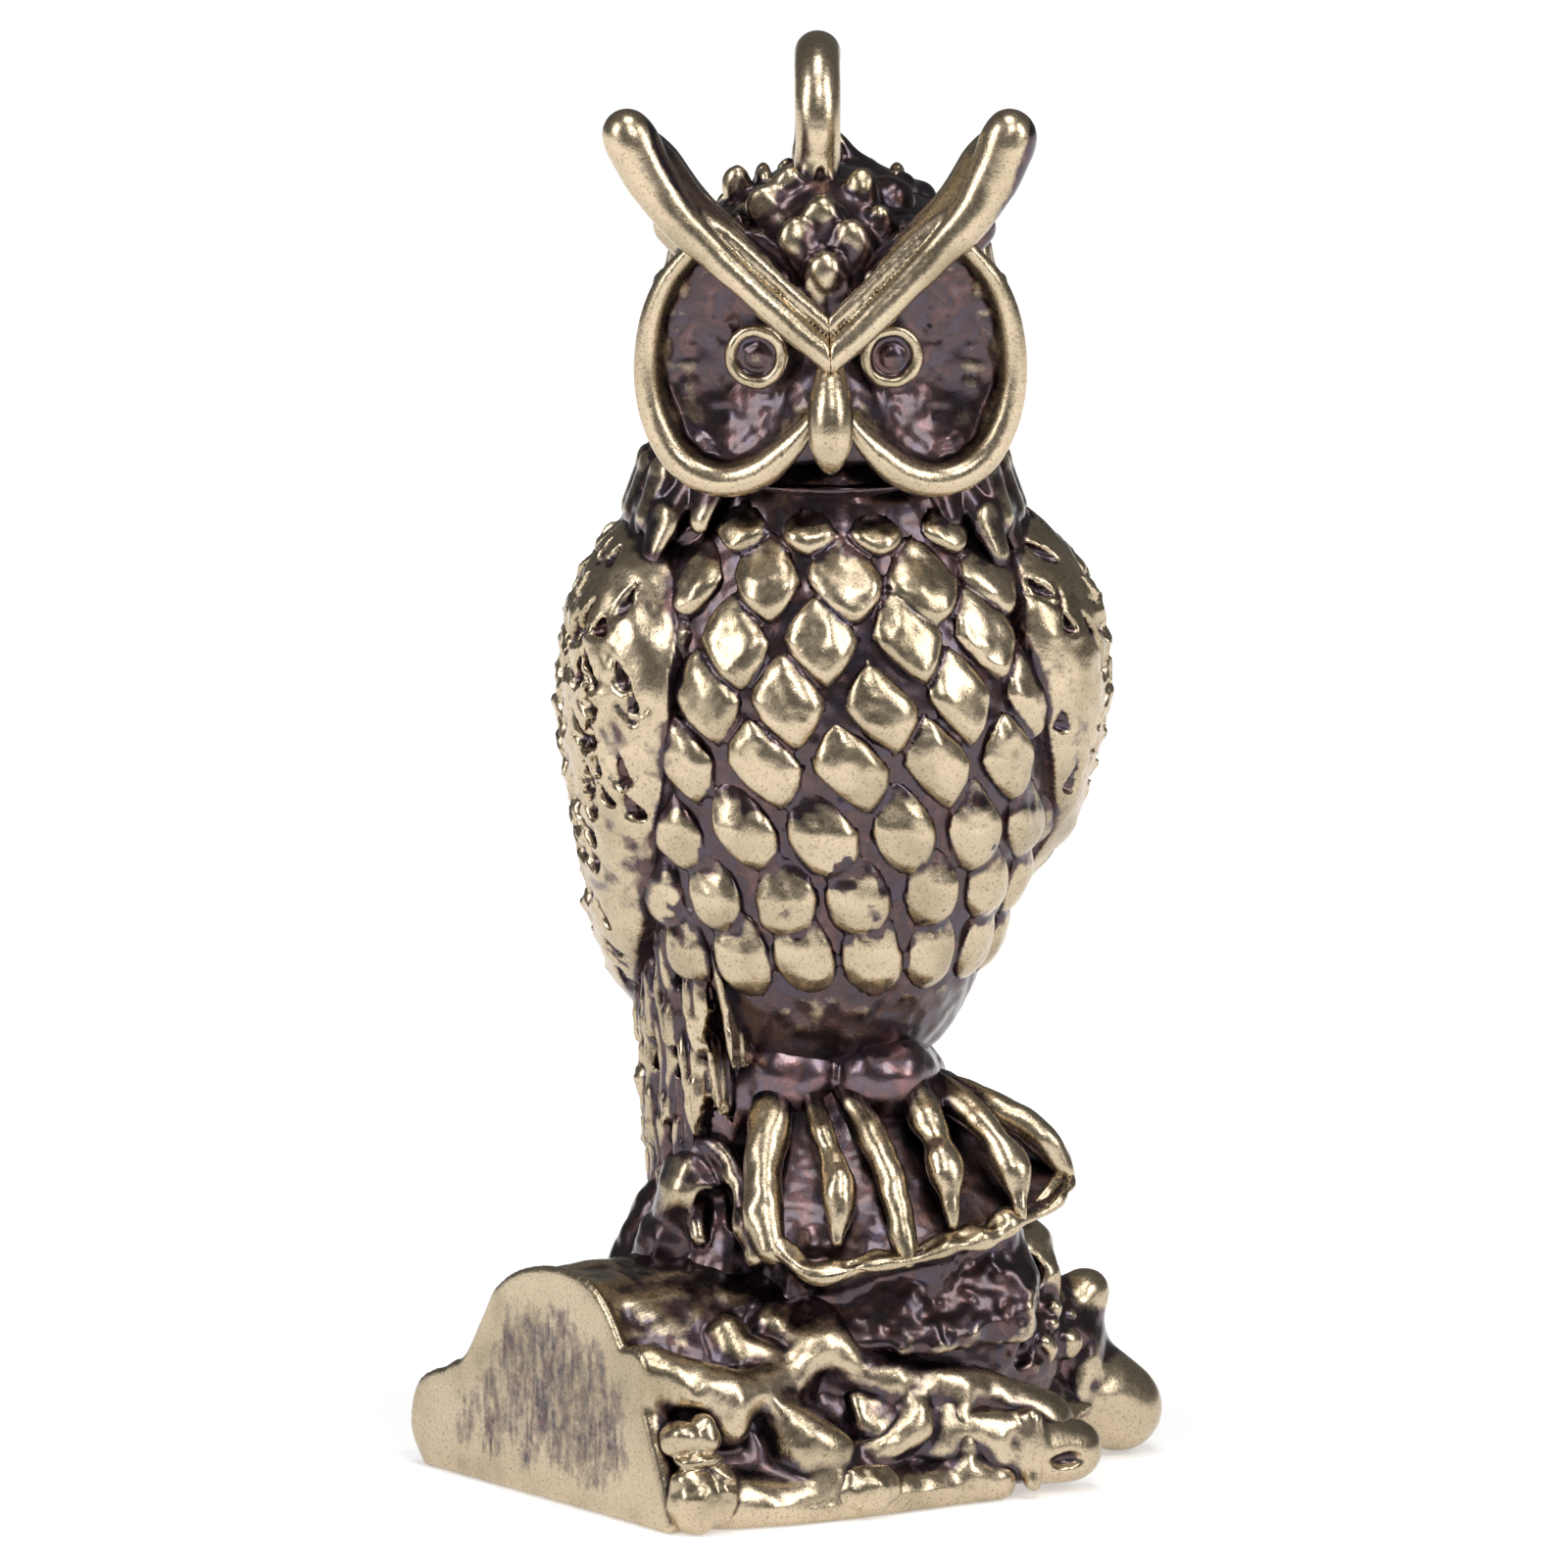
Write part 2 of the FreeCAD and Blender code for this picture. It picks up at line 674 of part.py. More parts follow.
def make_loop(head):
    """Hanging loop: a thick eye of wire standing on the crown, edge on to the face."""
    body, sketch = body_with_sketch("loop_body", "YZ_Plane")
    for expression in ("dims.loop_hole", "dims.loop_hole + dims.loop_wire"):
        radius = sketch.evalExpression(expression)
        ring = sketch.addGeometry(Part.Circle(Vector(), UP, radius), False)
        bind(sketch, "Radius", (ring,), expression)
    wall = pad(body, sketch, "dims.loop_wire", midplane=True)
    outside = dim("loop_hole") + dim("loop_wire") * 0.5
    rim = edges_where(wall.Shape, lambda middle: math.hypot(middle.y, middle.z) > outside)
    fillet(body, wall, rim, "dims.loop_wire * 0.42")
    # the loop stands a little to the owl's right of the head's middle plane
    body.Placement = Placement(owl_point(-0.37, 0.3, dim("loop_centre")), owl_turn(dim("loop_centre")))
    return cut(body, head)


# ---- the assembly ----


def build():
    log = finish(make_log(), "log")
    front_stub, rear_stub = make_stubs(log)
    finish(front_stub, "front_branch_stub")
    finish(rear_stub, "rear_branch_stub")
    burl = finish(make_burl(log, rear_stub), "burl")
    finish(make_knots(log, front_stub, rear_stub, burl), "pruned_knots")
    mound = finish(make_mound(log, burl), "perch_rock")
    ledge = finish(make_ledge(log, burl, mound), "claw_ledge")

    torso = finish(make_torso(), "torso")
    shell = make_torso(grow="dims.wing_thick", shares=TORSO[:-1])
    wings = {side: make_wing(side, torso, shell) for side in (LEFT, RIGHT)}
    finish(wings[LEFT], "left_wing")
    finish(wings[RIGHT], "right_wing")
    finish(cut(make_breast_feathers(torso), wings[LEFT], wings[RIGHT]), "breast_feathers")
    tail = finish(make_tail(torso, wings[LEFT], wings[RIGHT], log), "tail")
    finish(make_spur(log, mound, tail, ledge), "rock_spur")
    for side, word in ((LEFT, "left"), (RIGHT, "right")):
        leg = finish(make_leg(side, torso, mound), f"{word}_leg")
        finish(make_toes(side, mound, ledge, leg, burl), f"{word}_toes")
        plumes = make_plumes(side, torso, wings[LEFT], wings[RIGHT], tail)
        finish(plumes, f"{word}_flight_feathers")

    head = finish(make_head(torso), "head")
    trimmed_by = [head]
    for side, word in ((LEFT, "left"), (RIGHT, "right")):
        disc = finish(make_disc(side, head), f"{word}_face_disc")
        eye = finish(make_eye(side, head, disc), f"{word}_eye")
        brow = finish(make_brow(side, head, disc, eye), f"{word}_brow")
        trimmed_by += [disc, brow]
    finish(make_beak(*trimmed_by), "beak")
    crown = finish(make_crown_feathers(*trimmed_by), "crown_feathers")
    finish(make_ruff(torso, head, wings[LEFT], wings[RIGHT]), "neck_ruff")
    finish(cut(make_loop(head), crown), "hanging_loop")
    doc.recompute()


def check_and_write():
    """Stops on anything that failed, then writes each sub-part's STEP file."""
    for obj in doc.Objects:
        bad = {"Invalid", "Error"} & set(obj.State)
        if bad:
            raise SystemExit(f"{obj.Label} ({obj.TypeId}) is {bad}")
    os.makedirs("parts", exist_ok=True)
    for obj in nodes:
        shape = obj.Shape
        if shape.isNull() or not shape.isValid() or not shape.Solids:
            raise SystemExit(f"{obj.Label} has no valid solid")
        shape.exportStep(f"parts/{obj.Label}.step")
        print(f"{obj.Label:24s} solids {len(shape.Solids):3d} volume {shape.Volume:9.2f} mm3")


build()
check_and_write()
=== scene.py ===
"""Antique brass owl on a log: the looks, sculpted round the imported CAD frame.

Each piece is modelled in mm as a distance field on a block of voxels, negative inside the brass, and is
then skinned with a mesh. Three spaces share one origin and one vertical axis:
  LOG   the row frame: the log lies along x, its sawn end at -x, and the claws reach towards -y.
  FACE  turned so that the face looks along -y, with its left at +x.
  OWL   like FACE, but also untwisted, because the owl turns as it rises.
"""

import math

import bpy
import json
import numpy as np
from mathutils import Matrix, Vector


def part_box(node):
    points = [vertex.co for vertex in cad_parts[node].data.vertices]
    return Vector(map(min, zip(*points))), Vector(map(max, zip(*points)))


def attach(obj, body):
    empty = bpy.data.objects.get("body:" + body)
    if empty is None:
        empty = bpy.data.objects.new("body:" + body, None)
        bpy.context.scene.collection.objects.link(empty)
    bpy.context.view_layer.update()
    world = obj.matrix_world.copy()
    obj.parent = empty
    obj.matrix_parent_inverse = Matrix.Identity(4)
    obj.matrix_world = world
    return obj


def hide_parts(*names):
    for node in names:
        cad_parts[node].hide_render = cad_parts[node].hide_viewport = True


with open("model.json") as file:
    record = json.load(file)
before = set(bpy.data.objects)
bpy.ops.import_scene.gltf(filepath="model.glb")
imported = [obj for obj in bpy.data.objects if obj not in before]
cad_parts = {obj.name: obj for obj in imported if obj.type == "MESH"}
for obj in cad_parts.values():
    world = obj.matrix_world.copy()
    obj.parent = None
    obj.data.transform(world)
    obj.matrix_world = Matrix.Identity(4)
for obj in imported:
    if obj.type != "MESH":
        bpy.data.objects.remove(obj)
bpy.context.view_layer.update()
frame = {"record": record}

MM = 0.001
STEP = 0.1  # voxel size in mm
FEET_TURN, HEAD_TURN = 10.0, 35.0  # degrees, as in the CAD
TWIST_LOW, TWIST_HIGH = 8.0, 28.0  # heights in mm between which the owl turns
OWL, FACE, LOG = "owl", "face", "log"


# ---- spaces ----


def turn_of(space, z):
    """Angle in radians from the row frame to a space, at heights z."""
    if space == LOG:
        return np.zeros_like(z)
    if space == FACE:
        return np.full_like(z, math.radians(HEAD_TURN))
    share = np.clip((z - TWIST_LOW) / (TWIST_HIGH - TWIST_LOW), 0, 1)
    eased = share * share * (3 - 2 * share)
    return np.radians(FEET_TURN + (HEAD_TURN - FEET_TURN) * eased)


def turned(points, angle):
    """Points turned about z, each by its angle in radians."""
    x, y = points[:, 0], points[:, 1]
    c, s = np.cos(angle), np.sin(angle)
    return np.stack([x * c - y * s, x * s + y * c, points[:, 2]], 1)


def to_row(points, space):
    """Points of a space, in the row frame."""
    return turned(points, -turn_of(space, points[:, 2]))


def from_row(points, space):
    """Row-frame points, in a space."""
    return turned(points, turn_of(space, points[:, 2]))


# ---- small maths ----


def sin_cos(degrees):
    angle = math.radians(degrees)
    return math.sin(angle), math.cos(angle)


def soft_min(a, b, soft):
    """The lesser of a and b, with the corner between them rounded."""
    if soft <= 0:
        return np.minimum(a, b)
    h = np.clip(0.5 + 0.5 * (b - a) / soft, 0, 1)
    return b + (a - b) * h - soft * h * (1 - h)


def soft_max(a, b, soft):
    return -soft_min(-a, -b, soft)


def ease(low, high, value):
    """0 below low, 1 above high, smooth between."""
    t = np.clip((value - low) / (high - low), 0, 1)
    return t * t * (3 - 2 * t)


def smooth_keys(value, keys, values):
    """Smooth curve through (keys, values), which ascend in keys."""
    keys, values = np.asarray(keys, float), np.asarray(values, float)
    slopes = np.gradient(values, keys)
    value = np.clip(value, keys[0], keys[-1])
    i = np.clip(np.searchsorted(keys, value) - 1, 0, len(keys) - 2)
    span = keys[i + 1] - keys[i]
    t = (value - keys[i]) / span
    h00, h10 = (1 + 2 * t) * (1 - t) ** 2, t * (1 - t) ** 2
    h01, h11 = t * t * (3 - 2 * t), t * t * (t - 1)
    low, high = h00 * values[i] + h10 * span * slopes[i], h01 * values[i + 1]
    return (low + high + h11 * span * slopes[i + 1]).astype(np.float32)


def spline(points, count):
    """Catmull-Rom curve through rows of numbers, sampled count times per span."""
    p = np.asarray(points, float)
    p = np.vstack([2 * p[0] - p[1], p, 2 * p[-1] - p[-2]])
    t = np.arange(count)[:, None] / count
    out = []
    for a, b, c, d in zip(p, p[1:], p[2:], p[3:]):
        square, cube = 2 * a - 5 * b + 4 * c - d, 3 * b - a - 3 * c + d
        out.append(0.5 * (2 * b + (c - a) * t + square * t**2 + cube * t**3))
    return np.vstack(out + [p[-2:-1]])


LATTICE = np.random.RandomState(7).rand(32, 32, 32).astype(np.float32)


def noise(x, y, z, size, seed=0):
    """Smooth noise in -1..1 with cells of that size."""
    coords = []
    for value, offset in ((x, 3.1), (y, 17.7), (z, 9.3)):
        v = np.asarray(value, np.float32) / size + offset * (seed + 1)
        low = np.floor(v)
        t = v - low
        coords.append((low.astype(np.int32) & 31, (low.astype(np.int32) + 1) & 31, t * t * (3 - 2 * t)))
    (x0, x1, tx), (y0, y1, ty), (z0, z1, tz) = coords
    total = 0
    for xi, wx in ((x0, 1 - tx), (x1, tx)):
        for yi, wy in ((y0, 1 - ty), (y1, ty)):
            for zi, wz in ((z0, 1 - tz), (z1, tz)):
                total = total + LATTICE[xi, yi, zi] * (wx * wy * wz)
    return total * 2 - 1


def grain(*layers):
    """Function of x, y, z that adds up layers of noise: depth in mm, size in mm and seed."""
    return lambda x, y, z: sum(depth * noise(x, y, z, size, seed) for depth, size, seed in layers)


def polygon_distance(y, z, outline):
    """Signed distance to a closed outline in a plane, negative inside."""
    p = np.asarray(outline, float)
    best = np.full(np.broadcast(y, z).shape, 1e9)
    inside = np.zeros(best.shape, bool)
    for (ay, az), (by, bz) in zip(p, np.roll(p, -1, 0)):
        ey, ez = by - ay, bz - az
        t = np.clip(((y - ay) * ey + (z - az) * ez) / (ey * ey + ez * ez), 0, 1)
        best = np.minimum(best, (y - ay - t * ey) ** 2 + (z - az - t * ez) ** 2)
        crosses = (az > z) != (bz > z)
        inside ^= crosses & (y < ay + (z - az) * ey / (ez if abs(ez) > 1e-9 else 1e-9))
    return np.where(inside, -1, 1) * np.sqrt(best)


# ---- clay: a distance field on a block of voxels ----


CORNERS = [(a, b, c) for a in (0, 1) for b in (0, 1) for c in (0, 1)]


class Clay:
    """Brass on one block of voxels.

    tarnish and stain_and_shade(x, y, z) keep the patina on it, with real stains and, on some pieces, painted
    shade and light;
    lean slants its top, mirror gives it a right twin, and replaces names the CAD nodes that it stands for.
    """

    def __init__(self, name, space, low, high, step=STEP, tarnish=0.0, mirror=False):
        self.name, self.space, self.step, self.replaces = name, space, step, ()
        self.tarnish, self.mirror, self.stain_and_shade, self.lean = tarnish, mirror, None, 0.0
        self.low = np.array(low, np.float32)
        self.size = (np.ceil((np.array(high) - low) / step)).astype(int) + 1
        axes = [self.low[i] + step * np.arange(self.size[i], dtype=np.float32) for i in range(3)]
        self.x, self.y, self.z = axes[0][:, None, None], axes[1][None, :, None], axes[2][None, None, :]
        self.field = np.full(self.size, 5.0, np.float32)

    def window(self, low, high):
        """Slices and coordinates of the voxels inside a box."""
        a = np.clip(np.floor((np.array(low) - self.low) / self.step).astype(int), 0, self.size)
        b = np.clip(np.ceil((np.array(high) - self.low) / self.step).astype(int) + 1, 0, self.size)
        cut = tuple(slice(i, j) for i, j in zip(a, b))
        return cut, self.x[cut[0]], self.y[:, cut[1]], self.z[:, :, cut[2]]

    def merge(self, cut, distance, soft, carve=False):
        here = self.field[cut]
        self.field[cut] = soft_max(here, -distance, soft) if carve else soft_min(here, distance, soft)

    def shape(self, function, soft=0.0, carve=False, low=None, high=None):
        """Merges function(x, y, z) inside a box, or everywhere."""
        low = self.low if low is None else low
        high = self.low + self.size * self.step if high is None else high
        cut, x, y, z = self.window(low, high)
        if all(s.stop > s.start for s in cut):
            self.merge(cut, function(x, y, z).astype(np.float32), soft, carve)

    def trim(self, distance, soft):
        """Keeps only what lies where distance is negative."""
        self.field = soft_max(self.field, np.broadcast_to(distance, self.field.shape), soft)

    def halve(self):
        """Cuts at the middle plane, where a mirrored half meets its twin."""
        self.shape(lambda x, y, z: x + 0 * y + 0 * z, carve=True)

    def tube(self, points, radii, soft=0.15, carve=False, flat=None):
        """A round limb through points. flat = (direction, factor) squeezes it along that direction."""
        points = np.asarray(points, float)
        radii = np.broadcast_to(np.asarray(radii, float), (len(points),))
        squeeze = 1 if flat is None else min(1, flat[1])
        pad = radii.max() / squeeze + 6 * self.step + 2 * soft
        cut, x, y, z = self.window(points.min(0) - pad, points.max(0) + pad)
        if not all(s.stop > s.start for s in cut):
            return
        best = np.full(np.broadcast(x, y, z).shape, 9.0, np.float32)
        for a, b, ra, rb in zip(points, points[1:], radii, radii[1:]):
            reach = max(ra, rb) / squeeze + 5 * self.step + 2 * soft
            inner, px, py, pz = self.window(np.minimum(a, b) - reach, np.maximum(a, b) + reach)
            local = tuple(slice(i.start - o.start, i.stop - o.start) for i, o in zip(inner, cut))
            if not all(s.stop > s.start for s in inner):
                continue
            ab = b - a
            along = ((px - a[0]) * ab[0] + (py - a[1]) * ab[1] + (pz - a[2]) * ab[2]) / max(ab @ ab, 1e-9)
            along = np.clip(along, 0, 1)
            dx, dy, dz = px - a[0] - along * ab[0], py - a[1] - along * ab[1], pz - a[2] - along * ab[2]
            square = dx * dx + dy * dy + dz * dz
            if flat is not None:
                side = dx * flat[0][0] + dy * flat[0][1] + dz * flat[0][2]
                square = square + side * side * (1 / flat[1] ** 2 - 1)
            d = np.sqrt(square) - (ra + (rb - ra) * along)
            best[local] = np.minimum(best[local], d)
        self.merge(cut, best, soft, carve)

    def ball(self, centre, radii, soft=0.15, carve=False, lean=0.0):
        """An ellipsoid, leaned about the x axis by that many degrees."""
        radii = np.broadcast_to(np.asarray(radii, float), (3,))
        pad = radii.max() + 4 * self.step + 1.5 * soft
        cut, x, y, z = self.window(np.array(centre) - pad, np.array(centre) + pad)
        if not all(s.stop > s.start for s in cut):
            return
        x, y, z = x - centre[0], y - centre[1], z - centre[2]
        s, c = sin_cos(lean)
        y, z = y * c + z * s, z * c - y * s
        k = np.sqrt((x / radii[0]) ** 2 + (y / radii[1]) ** 2 + (z / radii[2]) ** 2) + 1e-6
        g = np.sqrt((x / radii[0] ** 2) ** 2 + (y / radii[1] ** 2) ** 2 + (z / radii[2] ** 2) ** 2) + 1e-6
        self.merge(cut, (k * (k - 1) / g).astype(np.float32), soft, carve)

    def raise_by(self, function, band=0.8):
        """Moves the surface outwards by function(x, y, z) of the points near it."""
        near = np.abs(self.field) < band
        i, j, k = np.nonzero(near)
        x, y, z = self.x[i, 0, 0], self.y[0, j, 0], self.z[0, 0, k]
        self.field[near] -= function(x, y, z).astype(np.float32)

    def sample(self, points, outside, both=True):
        """Field at points of this clay's space, with outside beyond its block."""
        if self.mirror and both:
            points = np.abs(points * [1, 0, 0]) + points * [0, 1, 1]
        g = (points - self.low) / self.step
        inside = np.all((g >= 0) & (g < self.size - 1.001), 1)
        out = np.full(len(points), outside, np.float32)
        if inside.any():
            g = g[inside]
            i = g.astype(np.int32)
            t = (g - i).astype(np.float32)
            total = 0
            for corner in CORNERS:
                weight = 1
                for axis in range(3):
                    weight = weight * (t[:, axis] if corner[axis] else 1 - t[:, axis])
                a, b, c = corner
                total = total + weight * self.field[i[:, 0] + a, i[:, 1] + b, i[:, 2] + c]
            out[inside] = np.minimum(total, outside)
        return out

    def outward(self, points):
        """Unit outward direction of the field at points."""
        out = np.empty((len(points), 3), np.float32)
        for axis in range(3):
            d = np.zeros(3)
            d[axis] = self.step * 0.9
            out[:, axis] = self.sample(points + d, 9, False) - self.sample(points - d, 9, False)
        return out / (np.linalg.norm(out, axis=1, keepdims=True) + 1e-9)

    def skin(self):
        """Surface-net mesh of the field's zero: points in mm and quads."""
        f = self.field
        for face in (f[0], f[-1], f[:, 0], f[:, -1], f[:, :, 0], f[:, :, -1]):
            np.maximum(face, 0.01, out=face)
        inside = (f < 0).view(np.uint8)
        wide, deep, tall = (n - 1 for n in f.shape)
        count = sum(inside[a : a + wide, b : b + deep, c : c + tall] for a, b, c in CORNERS)
        cells = np.argwhere((count > 0) & (count < 8))
        corner = {(a, b, c): f[cells[:, 0] + a, cells[:, 1] + b, cells[:, 2] + c] for a, b, c in CORNERS}
        total, hits = np.zeros((len(cells), 3), np.float32), np.zeros(len(cells), np.float32)
        for start in corner:
            for axis in range(3):
                if start[axis]:
                    continue
                end = tuple(1 if i == axis else v for i, v in enumerate(start))
                fa, fb = corner[start], corner[end]
                crosses = (fa < 0) != (fb < 0)
                t = np.where(crosses, fa / np.where(crosses, fa - fb, 1), 0)
                place = np.array(start, np.float32)[None] + t[:, None] * np.eye(3, dtype=np.float32)[axis]
                total += place * crosses[:, None]
                hits += crosses
        points = self.low + (cells + total / hits[:, None]) * self.step
        number = np.full(count.shape, -1, np.int32)
        number[cells[:, 0], cells[:, 1], cells[:, 2]] = np.arange(len(cells))
        quads = []
        for axis in range(3):
            a = f[tuple(slice(0, -1) if i == axis else slice(1, -1) for i in range(3))] < 0
            b = f[tuple(slice(1, None) if i == axis else slice(1, -1) for i in range(3))] < 0
            edges = np.argwhere(a != b)
            goes_out = a[tuple(edges.T)]
            u, v = (axis + 1) % 3, (axis + 2) % 3
            edges = edges + np.array([0 if i == axis else 1 for i in range(3)])
            ring = []
            for du, dv in ((1, 1), (0, 1), (0, 0), (1, 0)):
                cell = edges.copy()
                cell[:, u] -= du
                cell[:, v] -= dv
                ring.append(number[cell[:, 0], cell[:, 1], cell[:, 2]])
            ring = np.stack(ring, 1)
            quads.append(np.where(goes_out[:, None], ring, ring[:, ::-1]))
        quads = np.vstack(quads)
        return self.settle(points.astype(np.float32), quads), quads

    def settle(self, points, quads):
        """Evens the mesh out and puts it back on the surface."""
        edges = np.vstack([quads[:, [i, (i + 1) % 4]] for i in range(4)])
        a = np.concatenate([edges[:, 0], edges[:, 1]])
        b = np.concatenate([edges[:, 1], edges[:, 0]])
        degree = np.bincount(a, minlength=len(points)).astype(np.float32)[:, None]

        def middle():
            return np.stack([np.bincount(a, points[b, i], len(points)) for i in range(3)], 1) / degree

        for _ in range(3):
            points = points + 0.5 * (middle() - points)
            off = np.clip(self.sample(points, 9, False), -self.step, self.step)
            points = points - self.outward(points) * off[:, None]
        return (points + 0.35 * (middle() - points)).astype(np.float32)


# ---- the owl's body ----

TORSO_BASE, TORSO_TALL, TORSO_HALF_WIDTH, TORSO_HALF_DEPTH = 11.6, 18.4, 6.6, 6.2
BELLY_SHIFT = 0.45  # how far the low part of the torso stands to the owl's right
TORSO = np.array(
    [
        # share of the height, half width, half depth, back
        (0.0, 0.48, 0.50, 0.6),
        (0.08, 0.61, 0.65, 0.5),
        (0.19, 0.735, 0.80, 0.2),
        (0.32, 0.855, 0.895, 0.0),
        (0.48, 0.97, 0.98, -0.1),
        (0.65, 1.0, 1.0, -0.1),
        (0.80, 0.90, 0.91, 0.1),
        (0.90, 0.75, 0.79, 0.2),
        (1.0, 0.66, 0.69, 0.2),
    ]
)


def torso_axes(z):
    up = (z - TORSO_BASE) / TORSO_TALL
    wide, deep, back = (smooth_keys(up, TORSO[:, 0], TORSO[:, i]) for i in (1, 2, 3))
    return TORSO_HALF_WIDTH * wide, TORSO_HALF_DEPTH * deep, back


def torso_distance(x, y, z):
    """Level distance to the torso's wall, and the bearing in degrees from its front."""
    wide, deep, back = torso_axes(z)
    x, y = x + BELLY_SHIFT * ease(19.5, 15.0, z), y - back
    k = np.sqrt((x / wide) ** 2 + (y / deep) ** 2) + 1e-6
    g = np.sqrt((x / wide**2) ** 2 + (y / deep**2) ** 2) + 1e-6
    return (k * (k - 1) / g).astype(np.float32), np.degrees(np.arctan2(x, -y)).astype(np.float32)


class Map:
    """Heights in mm over the torso's wall, by bearing and height above the base."""

    bottom, top = 9.0, 31.0
    da, dz = 0.4, 0.05  # degrees and mm from one point of the map to the next

    def __init__(self, low, high, fill):
        self.low = low
        self.a = np.arange(low, high + 0.01, self.da, dtype=np.float32)[:, None]
        self.z = np.arange(self.bottom, self.top + 0.01, self.dz, dtype=np.float32)[None, :]
        wide, deep, _ = torso_axes(self.z)
        self.mm = (wide + deep) / 2 * math.pi / 180  # mm per degree
        self.h = np.full((self.a.size, self.z.size), fill, np.float32)
        self.stain_and_shade = np.zeros_like(self.h)

    def look(self, a, z, h=None):
        """Height, or another layer h of the map, at a bearing and a height above the base."""
        i = np.clip((a - self.low) / self.da, 0, self.h.shape[0] - 1.001)
        j = np.clip((z - self.bottom) / self.dz, 0, self.h.shape[1] - 1.001)
        i, j = np.broadcast_arrays(i, j)
        i0, j0 = i.astype(np.int32), j.astype(np.int32)
        ti, tj = i - i0, j - j0
        h = self.h if h is None else h
        below = h[i0, j0] * (1 - ti) + h[i0 + 1, j0] * ti
        above = h[i0, j0 + 1] * (1 - ti) + h[i0 + 1, j0 + 1] * ti
        return below * (1 - tj) + above * tj

    def patch(self, a, z, half):
        """Slices round (a, z), with offsets in mm across and up."""
        j = min(max(int(round((z - self.bottom) / self.dz)), 0), self.z.size - 1)
        turn = half / float(self.mm[0, j])
        i0, i1 = int((a - turn - self.low) / self.da), int((a + turn - self.low) / self.da) + 2
        j0, j1 = int((z - half - self.bottom) / self.dz), int((z + half - self.bottom) / self.dz) + 2
        cut = (slice(max(i0, 0), min(i1, self.a.size)), slice(max(j0, 0), min(j1, self.z.size)))
        return cut, (self.a[cut[0]] - a) * self.mm[:, cut[1]], self.z[:, cut[1]] - z


BREAST_ROWS = (
    # height, bearing of one feather, spacing, half width, half height, squareness, dirt on the upper part
    (28.3, -8.0, 24.5, 0.88, 0.72, 1.6, 0.42),
    (27.05, 4.0, 24.8, 1.12, 1.30, 1.5, 0.12),
    (25.35, -3.5, 24.4, 1.17, 1.42, 1.35, 0.02),
    (23.55, 10.0, 23.8, 1.17, 1.46, 1.35, 0.02),
    (21.75, 0.0, 23.2, 1.16, 1.44, 1.4, 0.06),
    (19.85, 10.8, 22.4, 1.06, 1.46, 1.7, 0.30),
    (17.95, -2.6, 22.0, 0.99, 1.36, 2.0, 0.30),
    (16.15, 2.1, 21.6, 0.91, 1.38, 2.2, 0.30),
)


def breast_map():
    """Scale feathers, row by row. Upper ones are lozenges, lower ones hang like tongues."""
    skin = Map(-96, 96, fill=-0.5)
    rand = np.random.RandomState(11)
    for z, bearing, spacing, half_wide, half_tall, round_, dirt in BREAST_ROWS:
        for n in range(-5, 5):
            a = bearing + n * spacing
            if abs(a) > (68 if z > 20 else 84):
                continue
            w, t = half_wide * rand.uniform(0.95, 1.05), half_tall * rand.uniform(0.95, 1.05)
            tip, lean = rand.uniform(0.08, 0.2), rand.uniform(-0.08, 0.08) + (0.10 if z > 20 else 0.04)
            bearing_now, z_now = a + rand.uniform(-1, 1), z + rand.uniform(-0.12, 0.12)
            cut, u, v = skin.patch(bearing_now, z_now, 2.2)
            u = u + v * lean
            hang = 0.25 * (t - 1) * (round_ > 1.4)  # lower feathers are widest towards their tips
            across, along = np.abs(u / (w * (1 - hang * v))), np.abs(v / t) + 1e-3
            k = (across**round_ + along**round_) ** (1 / round_)
            edge = (1 - k) * w * 0.9
            pillow = 0.46 * (1 - np.exp(-np.maximum(edge, 0) / 0.20)) - tip * v / t * 0.7 * ease(0, 0.3, edge)
            if dirt > 0.1:  # lower feathers slip out from under the row above
                pillow = pillow * (1 - 0.7 * ease(-0.2, 0.95, v / t))
            height = np.where(edge > 0, pillow, -0.5 + 0.5 * ease(-0.06, 0, edge))
            skin.h[cut] = np.maximum(skin.h[cut], height)
            patchy = dirt * (0.4 + rand.rand())
            skin.stain_and_shade[cut] += np.where(edge > 0, patchy * ease(-0.45, 0.55, v / t) + 0.04 * rand.rand(), 0)
    return skin


# height above the base and bearing of a folded wing's front and back edges
WING_FRONT = (
    (12.2, 138), (13.0, 122), (14.2, 102), (15.5, 87), (17.5, 73), (20, 59), (22, 51), (24, 47), (26, 47),
    (27.5, 55), (28.4, 70), (29.0, 92), (30, 100),
)
WING_BACK = (
    (12.2, 146), (13.5, 158), (16, 167), (20, 174), (24, 176), (27, 172), (28.4, 150), (29.0, 115), (30, 100),
)
WING_FOOT, WING_TOP = 12.3, 28.95


